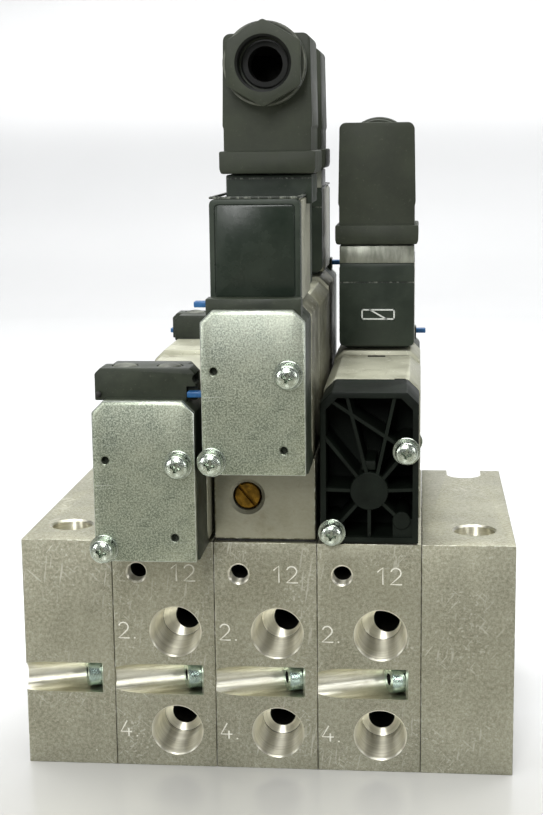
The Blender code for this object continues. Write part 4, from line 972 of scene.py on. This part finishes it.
def parting_groove(front, top, place):
    """The parting line round the housing, as a thin frame."""
    y, width = front + 9, 0.5
    groove = place.finish("groove_cutter", prism_mesh(chamfered(16, -3, top + 3), y, y + width), "housing")
    core = chamfered(HOUSING_HALF_WIDTH - 0.35, 0.0, top - 0.35, CORNER, HOUSING_FLARE)
    return carve(groove, [place.prism("groove_core", core, y - 1, y + 2, "housing", 0.0)])


def housing_shell(unit, node, place):
    """The black housing behind a cover plate, as high as the plate."""
    low, top = place.cad(node)[0], place.cad(unit + "_cover_plate")[1].z
    outline = chamfered(HOUSING_HALF_WIDTH, low.z, top, CORNER, HOUSING_FLARE)
    return place.prism(node + "_shell", outline, low.y, low.y + HOUSING_DEPTH, "housing", 0.4), low.y, top


def housing_cutters(unit, place, above):
    """The wells of the plate's screws, and the override's pocket."""
    plate_front = place.cad(unit + "_cover_plate")[0].y
    wells = screw_wells(plate_front, PLATE_SCREWS, place)
    return wells + [override_pocket(unit + "_override", place, above)]


def make_pilot_housing(unit, place):
    """The black housing under a coil, with the ledge over its manual override."""
    node = unit + "_pilot_housing"
    shell, face, top = housing_shell(unit, node, place)
    front, back = LEDGE_PLACES
    ledge_top = place.cad(node)[1].z
    ledge = place.box("ledge", (-LEDGE_HALF_WIDTH, front, top - 2), (LEDGE_HALF_WIDTH, back, ledge_top), "housing",
                      0.3)
    carve(shell, [ledge], "UNION")
    carve(shell, housing_cutters(unit, place, 0.3) + [parting_groove(face, top, place)])
    show(shell, node)


def make_pilot_head(unit, place):
    """The air pilot's black head: its housing, and the low cap with two domes and a scooped corner."""
    node = unit + "_pilot_head"
    shell, _, housing_top = housing_shell(unit, node, place)
    high = place.cad(node)[1]
    front, waist, back = HEAD_PLACES
    bottom = housing_top - 0.7
    wide, narrow = HEAD_WIDTHS
    cap = chamfered(wide, bottom, high.z, CORNER / 2)
    tail = chamfered(narrow, bottom, high.z - 0.15, CORNER / 2)
    carve(shell, [place.prism("cap", cap, front, waist, "housing", 0.35, 3),
                  place.prism("tail", tail, waist - 1, back, "housing", 0.35, 3)], "UNION")
    cutters = housing_cutters(unit, place, 1.2)
    middle, well_radius, well, dome_radius = front + 4.1, 3.3, 0.5, 3.1
    for x in DOME_SIDES:
        cutters.append(place.rod("dome_cutter", (x, middle, high.z - well), UP, well_radius, 1 + well, "housing",
                                 SIDES))
    cutters.append(place.rod("scoop_cutter", (12.9, front - 2, high.z - 2.6), BACKWARD, 1.3, 7, "housing"))
    show(carve(shell, cutters), node)
    slope = [math.radians(a) for a in range(0, 90, 9)]
    profile = [(0.0, -0.6), (dome_radius, -0.6)]
    profile += [(dome_radius * math.cos(a), 0.95 * math.sin(a) - 0.35) for a in slope] + [(0.0, 0.6)]
    # The domes are pale with dust and painted highlight.
    for number, x in enumerate(DOME_SIDES, start=1):
        show(place.lathe(f"{node}_dome_{number}", profile, (x, middle, high.z), UP, "rubbed"))
    bead = [(0.0, 0.0)] + arc((0.0, 0.75), 0.75, -80, 80, 10) + [(0.0, 1.5)]
    seal_end = (-11.6, front + 0.2, housing_top + 0.9)
    show(place.lathe(node + "_seal_end", bead, seal_end, FRONTWARD, "rubber", BORE_SIDES))


def make_cover_plate(unit, place, paint):
    """The zinc-plated plate: a sheet with rolled edges, two screw holes and two pin holes."""
    node = unit + "_cover_plate"
    low, high = place.cad(node)
    outline = chamfered((high.x - low.x) / 2, low.z, high.z, PLATE_CORNER)
    outline = outline[:2] + outline[3:7]
    rim, drop = 1.1, 0.28
    bm = prism_mesh(outline, low.y + drop, high.y)
    bmesh.ops.recalc_face_normals(bm, faces=bm.faces)
    front = min(bm.faces, key=lambda f: f.calc_center_median().y)
    bmesh.ops.inset_region(bm, faces=[front], thickness=rim, depth=drop, use_even_offset=True)
    plate = place.finish(node + "_sheet", bm, paint, 12)
    soften(plate, 0.24, "zinc_edge_highlight")
    cutters = [place.rod("hole_cutter", (x, low.y - 1, z), BACKWARD, 1.9, 5, "zinc") for x, z in PLATE_SCREWS]
    cutters += [
        place.bore((x, low.y, z), FRONTWARD, "zinc", 1.2, 0.95, 0.95, 4, sides=32) for x, z in PLATE_PIN_HOLES
    ]
    show(carve(plate, cutters), node)


def make_override(unit, place):
    """The blue push tab, with a rounded thumb edge and three grip lines."""
    node = unit + "_override"
    low, high = place.cad(node)
    tab = place.box(node + "_tab", low, high, "blue", 0.25, 3)
    lines = [low.y + (high.y - low.y) * i / 4 for i in (1, 2, 3)]
    carve(tab, [
        place.box("grip_cutter", (low.x - 1, y - 0.2, high.z - 0.15), (high.x + 1, y + 0.2, high.z + 1), "blue",
                  0.0)
        for y in lines
    ])
    show(tab, node, node)


# --- Solenoids ---

def plug_centre(unit, place):
    """How far the connector sits to the side of the coil."""
    low, high = place.cad(unit + "_plug")
    return (low.x + high.x) / 2


def make_coil(unit, place):
    """A coil: core, lid, yoke plates on both sides, back plate, neck and contact pins."""
    node = unit + "_coil"
    low, high = place.cad(node)
    x = plug_centre(unit, place)
    half, top, bottom = COIL_HALF_WIDTH, COIL_TOP, low.z
    lid_back, yoke_back = low.y + 4, high.y - 6
    core = place.prism(node + "_core", rounded(half - YOKE, bottom, top - 0.3, 0.8), lid_back - 1,
                       yoke_back + 1, "coil", 0.35)
    back = place.prism("back", rounded(half, bottom + 1.1, top, 1.5), yoke_back, high.y, "coil", 0.4, 3)
    neck = place.box("neck", (x - NECK_HALF_WIDTH, -40, top - 2), (x + NECK_HALF_WIDTH, NECK_BACK, 72.3), "coil",
                     0.4)
    pins = [
        place.box("pin", (x + side - 0.4, y - 1.5, 70), (x + side + 0.4, y + 1.5, 79), "steel", 0.0)
        for side, y in PIN_PLACES
    ]
    carve(core, [back, neck, *pins], "UNION")
    line_low, line_high = top - 5.75, top - 5.35
    carve(core, [
        place.rod("chamber_cutter", (0.0, -50.3, 54), BACKWARD, 4.8, 15.4, "bore"),
        place.rod("vent_cutter", (0.0, -42.6, bottom - 1), UP, 1.5, 13, "dark", BORE_SIDES),
        place.box("line_cutter", (-half - 1, high.y - 0.2, line_low), (half + 1, high.y + 1, line_high), "beads_and_highlights",
                  0.0),
        place.box("neck_line_cutter", (x - 12, -42, 71.2), (x + 12, -39.8, 71.6), "beads_and_highlights", 0.0),
    ])
    show(core, node)
    make_coil_lid(node, low, lid_back, bottom + 0.6, place)
    inner = half - YOKE + 0.05
    for label, x0, x1 in (("left", -half, -inner), ("right", inner, half)):
        yoke = place.box(f"{node}_yoke_{label}", (x0, lid_back + 0.1, bottom + 0.6),
                         (x1, yoke_back - 0.1, top - 0.4), "beige", 0.25)
        show(yoke)
    lip = place.box(node + "_top_lip", (-half, low.y, top + 0.02), (half, high.y - 3, top + 0.6), "beads_and_highlights", 0.12)
    width = 0.7
    gap = place.box("lip_gap", (width - half, low.y + width, top - 1), (half - width, high.y, top + 2), "beads_and_highlights",
                    0.0)
    show(carve(lip, [gap]))
    strip = rounded(NECK_HALF_WIDTH, 67.1, 72.1, 0.2, 2, x)
    band = place.prism(node + "_neck_band", strip, NECK_BACK - 1, NECK_BACK + 0.35, "strip", 0.12)
    show(band)


def make_coil_lid(node, low, back, bottom, place):
    """The front lid, with a raised border round a glossy panel, and a pale strip of painted highlight along the
    panel's foot.
    """
    half, top, front = COIL_HALF_WIDTH, COIL_TOP, low.y
    lid = place.prism(node + "_lid", rounded(half, bottom, top, 1.4), front, back, "coil", 0.35, 3)
    border, gap = 1.2, 0.25
    recess = rounded(half - border, bottom + border, top - border, 1.0)
    carve(lid, [place.prism("panel_cutter", recess, front - 1, front + 0.30, "lid", 0.0)])
    show(lid)
    inner = border + gap
    outline = rounded(half - inner, bottom + inner, top - inner, 0.8)
    panel = place.prism(node + "_lid_panel", outline, front + 0.08, front + 0.5, "lid", 0.15)
    show(panel)
    # Painted highlight: a thin pale strip along the foot of the panel.
    foot = place.box(node + "_lid_foot", (inner - half, front + 0.02, bottom + border - 0.05),
                     (half - inner, front + 0.3, bottom + border + 0.22), "beads_and_highlights", 0.06)
    show(foot)


def make_plug(unit, place, top):
    """The connector plug: hollow housing, collar and the spigot of its gland."""
    node = unit + "_plug"
    bottom = place.cad(node)[0].z
    x = plug_centre(unit, place)
    foot_half, half, corner = 11.2, 10.8, 1.9
    waist, step = COLLAR_TOP + 5.5, 0.25
    outline = [
        (x - foot_half + step, COLLAR_TOP - 1), (x + foot_half - step, COLLAR_TOP - 1),
        (x + foot_half - step, waist), (x + foot_half, waist + 0.7),
        *arc((x + half - corner, top - corner), corner, 0, 90, 8),
        *arc((x - half + corner, top - corner), corner, 90, 180, 8),
        (x - foot_half, waist + 0.7), (x - foot_half + step, waist),
    ]
    # Where the outline starts decides how its flat faces are split, and so how evenly they are shaded.
    start = 11
    outline = outline[start:] + outline[:start]
    housing = place.prism(node + "_shell", outline, PLUG_FRONT, PLUG_BACK, "plug", 0.7, 3)
    low_half, wide = 11.7, 12.1
    collar = [
        (x - low_half, bottom), (x + low_half, bottom), (x + wide, bottom + 1.2), (x + wide, COLLAR_TOP),
        (x - wide, COLLAR_TOP), (x - wide, bottom + 1.2),
    ]
    carve(housing, [
        place.prism("collar", collar, PLUG_FRONT - 1, PLUG_BACK + 0.6, "plug", 0.45),
        place.rod("spigot", (x, PLUG_FRONT + 3, GLAND_HEIGHT), FRONTWARD, 9.6, 5.4, "plug", SIDES, 0.3),
    ], "UNION")
    carve(housing, [
        place.box("cavity_cutter", (x - 7.5, -39, bottom - 1), (x + 7.5, -24, 102), "dark", 0.0),
        place.rod("cable_cutter", (x, -31.5, GLAND_HEIGHT), FRONTWARD, 6.0, 16, "dark", SIDES),
    ])
    show(housing, node)
    make_gland(unit, x, place)


def make_gland(unit, x, place):
    """The gland nut: a hexagon with rounded corners on a round flange, and its rubber sleeve."""
    node = unit + "_gland_nut"
    low, high = place.cad(node)
    front, back = low.y, high.y
    radius, corner = 10.5, 1.1
    inner = radius - corner / math.cos(math.radians(30))
    hexagon = []
    for angle in range(0, 360, 60):
        spoke = math.radians(90 + angle)
        centre = (x + inner * math.cos(spoke), GLAND_HEIGHT + inner * math.sin(spoke))
        hexagon += arc(centre, corner, 60 + angle, 120 + angle, 4)
    nut = place.prism(node + "_hexagon", hexagon, front, back - 1.4, "plug", 0.5, 3)
    carve(nut, [
        place.rod("flange", (x, back, GLAND_HEIGHT), FRONTWARD, 10.3, 2.2, "plug", SIDES, 0.35),
        place.ring("rim", (x, back - 1.95, GLAND_HEIGHT), FRONTWARD, 9.7, 10.15, 0.3, "rubbed", SIDES, 0.08),
    ], "UNION")
    carve(nut, [place.bore((x, front, GLAND_HEIGHT), FRONTWARD, "bore_black", 6.9, 6.35, 6.35, 9)])
    show(nut, node)
    sleeve = place.ring(node + "_sleeve", (x, front + 6, GLAND_HEIGHT), BACKWARD, 4.3, 5.9, 9, "bore_black",
                        SIDES, 0.4)
    show(sleeve)


def make_coil_symbol(unit, place):
    """The standard sign of a solenoid: a box with a diagonal, printed on the coil's inner face."""
    y = place.cad(unit + "_coil")[1].y
    line, x, z = 0.42, -0.4, 52
    right, up = 4.7, 1.35
    corners = [(x - right, z - up), (x + right, z - up), (x + right, z + up), (x - right, z + up)]
    bottom_left, bottom_right, top_right, top_left = corners
    bars = (
        (bottom_left, bottom_right), (top_left, top_right), (bottom_left, top_left), (bottom_right, top_right),
        ((x - right / 2, z - up), (x + right / 2, z + up)),
    )
    bm = bmesh.new()
    for start, end in bars:
        add_bar(bm, start, end, y + 0.01, y + 0.06, line, line / 2)
    show(place.finish(unit + "_coil_sign", bm, "print"))


# --- Ribbed end cap ---

def make_end_cap(place):
    low, high = place.cad("end_cap")
    half, wall = (high.x - low.x) / 2, 1.5
    floor, root = high.y - 6, high.y - 4
    cap = place.prism("end_cap_shell", chamfered(half, low.z, high.z), low.y, high.y, "cap", 0.35, 3)
    hollow = chamfered(half - wall, low.z + wall, high.z - wall)
    carve(cap, [place.prism("hollow_cutter", hollow, low.y - 1, floor, "cap", 0.0)])
    ribs = []
    for start, end in CAP_RIBS:
        bm = bmesh.new()
        add_bar(bm, start, end, low.y + 0.5, root, 0.85)
        ribs.append(place.finish("rib", bm, "cap"))
    rounds = [(0.0, SPOOL_HEIGHT, 4.9, 0.25), (8.3, 6.2, 2.3, 0.35)]
    rounds += [(x, z, 3.1, 0.0) for x, z in CAP_SCREWS]
    for x, z, radius, shorter in rounds:
        ribs.append(place.rod("boss", (x, root, z), FRONTWARD, radius, root - low.y - shorter, "cap",
                              SMALL_SIDES, 0.2))
    ribs.append(place.box("pad", (6.0, low.y + 0.9, 1.0), (11.4, floor + 1, 6.6), "cap"))
    ribs.append(place.box("gate", (-2.0, low.y + 1.4, 19.3), (1.6, floor + 1, 21.6), "cap"))
    carve(cap, ribs, "UNION")
    chamber = place.rod("chamber_cutter", (0.0, high.y + 1, SPOOL_HEIGHT), FRONTWARD, 4.4, 19.5, "cap")
    carve(cap, screw_wells(low.y, CAP_SCREWS, place) + [chamber])
    show(cap, "end_cap")


def make_return_spring(place):
    """The right spool's return spring, with open turns."""
    low, high = place.cad("return_spring")
    wire, turns, per_turn, around = 0.45, 6, 32, 12
    radius, length = (high.x - low.x) / 2 - wire, high.y - low.y
    along = Vector(BACKWARD)
    round_wire = [math.tau * k / around for k in range(around)]
    bm = bmesh.new()
    rings = []
    for i in range(turns * per_turn + 1):
        angle = math.tau * i / per_turn
        y = low.y + wire + (length - 2 * wire) * i / (turns * per_turn)
        out = Vector((math.cos(angle), 0.0, math.sin(angle)))
        centre = out * radius + Vector((0.0, y, SPOOL_HEIGHT))
        rings.append([bm.verts.new(centre + wire * (math.cos(b) * out + math.sin(b) * along)) for b in round_wire])
    join_rings(bm, rings)
    spring = place.finish("return_spring_wire", bm, "spring")
    spring.data.transform(place.matrix)
    spring.matrix_world = WORLD.matrix
    show(spring, "return_spring")
    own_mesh(spring)


# --- Inner pieces ---

def dress_inner_pieces():
    """Spools and armatures keep their CAD shapes and get turned-metal finishes."""
    for name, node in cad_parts.items():
        if name.endswith("_spool") or name.endswith("_armature"):
            node.data.materials.clear()
            node.data.materials.append(PAINTS["turned"])


# --- Stage ---

def make_stage():
    """A pale floor that sweeps up behind the object."""
    radius, back, half_width, height, near = 500, 1000, 4500, 2400, -4000
    path = [(near, 0.0), (back, 0.0)]
    path += [(back + y, z) for y, z in arc((0.0, radius), radius, -80, 0, 9)] + [(back + radius, height)]
    bm = bmesh.new()
    rows = [[bm.verts.new((side * half_width, y, z)) for side in (-1, 1)] for y, z in path]
    for first, second in zip(rows, rows[1:]):
        bm.faces.new((first[0], first[1], second[1], second[0]))
    WORLD.finish("floor", bm, "floor", 80)


def add_area_light(name, place, target, size, power, colour=(1.0, 1.0, 1.0)):
    light = bpy.data.lights.new(name, "AREA")
    light.shape = "RECTANGLE"
    light.size, light.size_y = size
    light.energy = power
    light.color = colour
    obj = bpy.data.objects.new(name, light)
    obj.location = place
    obj.rotation_euler = (Vector(target) - Vector(place)).to_track_quat("-Z", "Y").to_euler()
    bpy.context.scene.collection.objects.link(obj)


def make_lights():
    """Soft light from above and behind, and three upright strips that show in the turned bores."""
    middle, low = (0.0, 0.0, 0.08), (0.0, 0.0, 0.03)
    add_area_light("overhead", (0.0, 0.10, 1.1), middle, (1.3, 1.1), 21.0, (1.0, 1.0, 0.99))
    add_area_light("right_side", (0.95, -0.2, 0.55), middle, (0.5, 0.8), 0.3)
    add_area_light("strip_centre", (-0.05, -0.62, 0.42), low, (0.15, 0.30), 2.3)
    add_area_light("strip_left", (-0.50, -0.58, 0.22), low, (0.10, 0.20), 0.95)
    add_area_light("strip_right", (0.50, -0.58, 0.22), low, (0.10, 0.20), 0.60)
    add_area_light("backdrop", (0.0, 0.75, 1.5), (0.0, 1.4, 0.4), (2.2, 0.8), 17.5)
    world = bpy.data.worlds.new("studio")
    world.use_nodes = True
    background = world.node_tree.nodes["Background"]
    background.inputs["Color"].default_value = (0.96, 0.98, 1.0, 1.0)
    background.inputs["Strength"].default_value = 0.20
    bpy.context.scene.world = world


def make_camera():
    camera = bpy.data.cameras.new("camera")
    camera.sensor_fit = "HORIZONTAL"
    camera.sensor_width = CAMERA_SENSOR
    camera.lens = CAMERA_LENS
    camera.clip_start = 0.01
    obj = bpy.data.objects.new("camera", camera)
    obj.location = CAMERA_PLACE
    obj.rotation_euler = Euler([math.radians(a) for a in CAMERA_TURN])
    bpy.context.scene.collection.objects.link(obj)
    bpy.context.scene.camera = obj


# --- Making it all ---

def make_screw_pair(prefix, plate, places, place):
    """The upper and lower pan screw on a plate or cap. Not all of them have a CAD node."""
    face = place.cad(plate)[0].y
    for label, (x, z) in zip(("upper", "lower"), places):
        name = f"{prefix}_screw_{label}"
        make_pan_screw(name, x, z, face, place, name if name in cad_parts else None)


make_camera()
make_lights()
bpy.context.scene.view_settings.view_transform = "Standard"
PAINTS = make_paints()
make_stage()
make_manifold()
make_throttle()
VALVES = {"left": ("front", "rear"), "middle": ("front", "rear"), "right": ("rear",)}
# The middle valve gets the paint with the stronger painted shade on its sides.
BODY_PAINTS = {"left": "beige", "middle": "side_shaded", "right": "beige"}
for valve in VALVES:
    make_body(valve, valve_place(valve), BODY_PAINTS[valve])
for valve, ends in VALVES.items():
    for end in ends:
        end_unit = f"{valve}_{end}"
        end_place = valve_place(valve, math.pi if end == "rear" else 0.0)
        make_pilot_block(end_unit, end_place, BODY_PAINTS[valve])
        # The middle valve's plates get the stronger painted highlight towards their tops.
        make_cover_plate(end_unit, end_place, "top_lit_zinc" if valve == "middle" else "zinc")
        make_override(end_unit, end_place)
        make_screw_pair(end_unit, end_unit + "_cover_plate", PLATE_SCREWS, end_place)
        if valve == "left":
            make_pilot_head(end_unit, end_place)
            continue
        make_pilot_housing(end_unit, end_place)
        make_coil(end_unit, end_place)
        make_plug(end_unit, end_place, PLUG_TOPS[valve])
        make_coil_symbol(end_unit, end_place)
cap_place = valve_place("right")
make_end_cap(cap_place)
make_return_spring(cap_place)
make_screw_pair("end_cap", "end_cap", CAP_SCREWS, cap_place)
dress_inner_pieces()
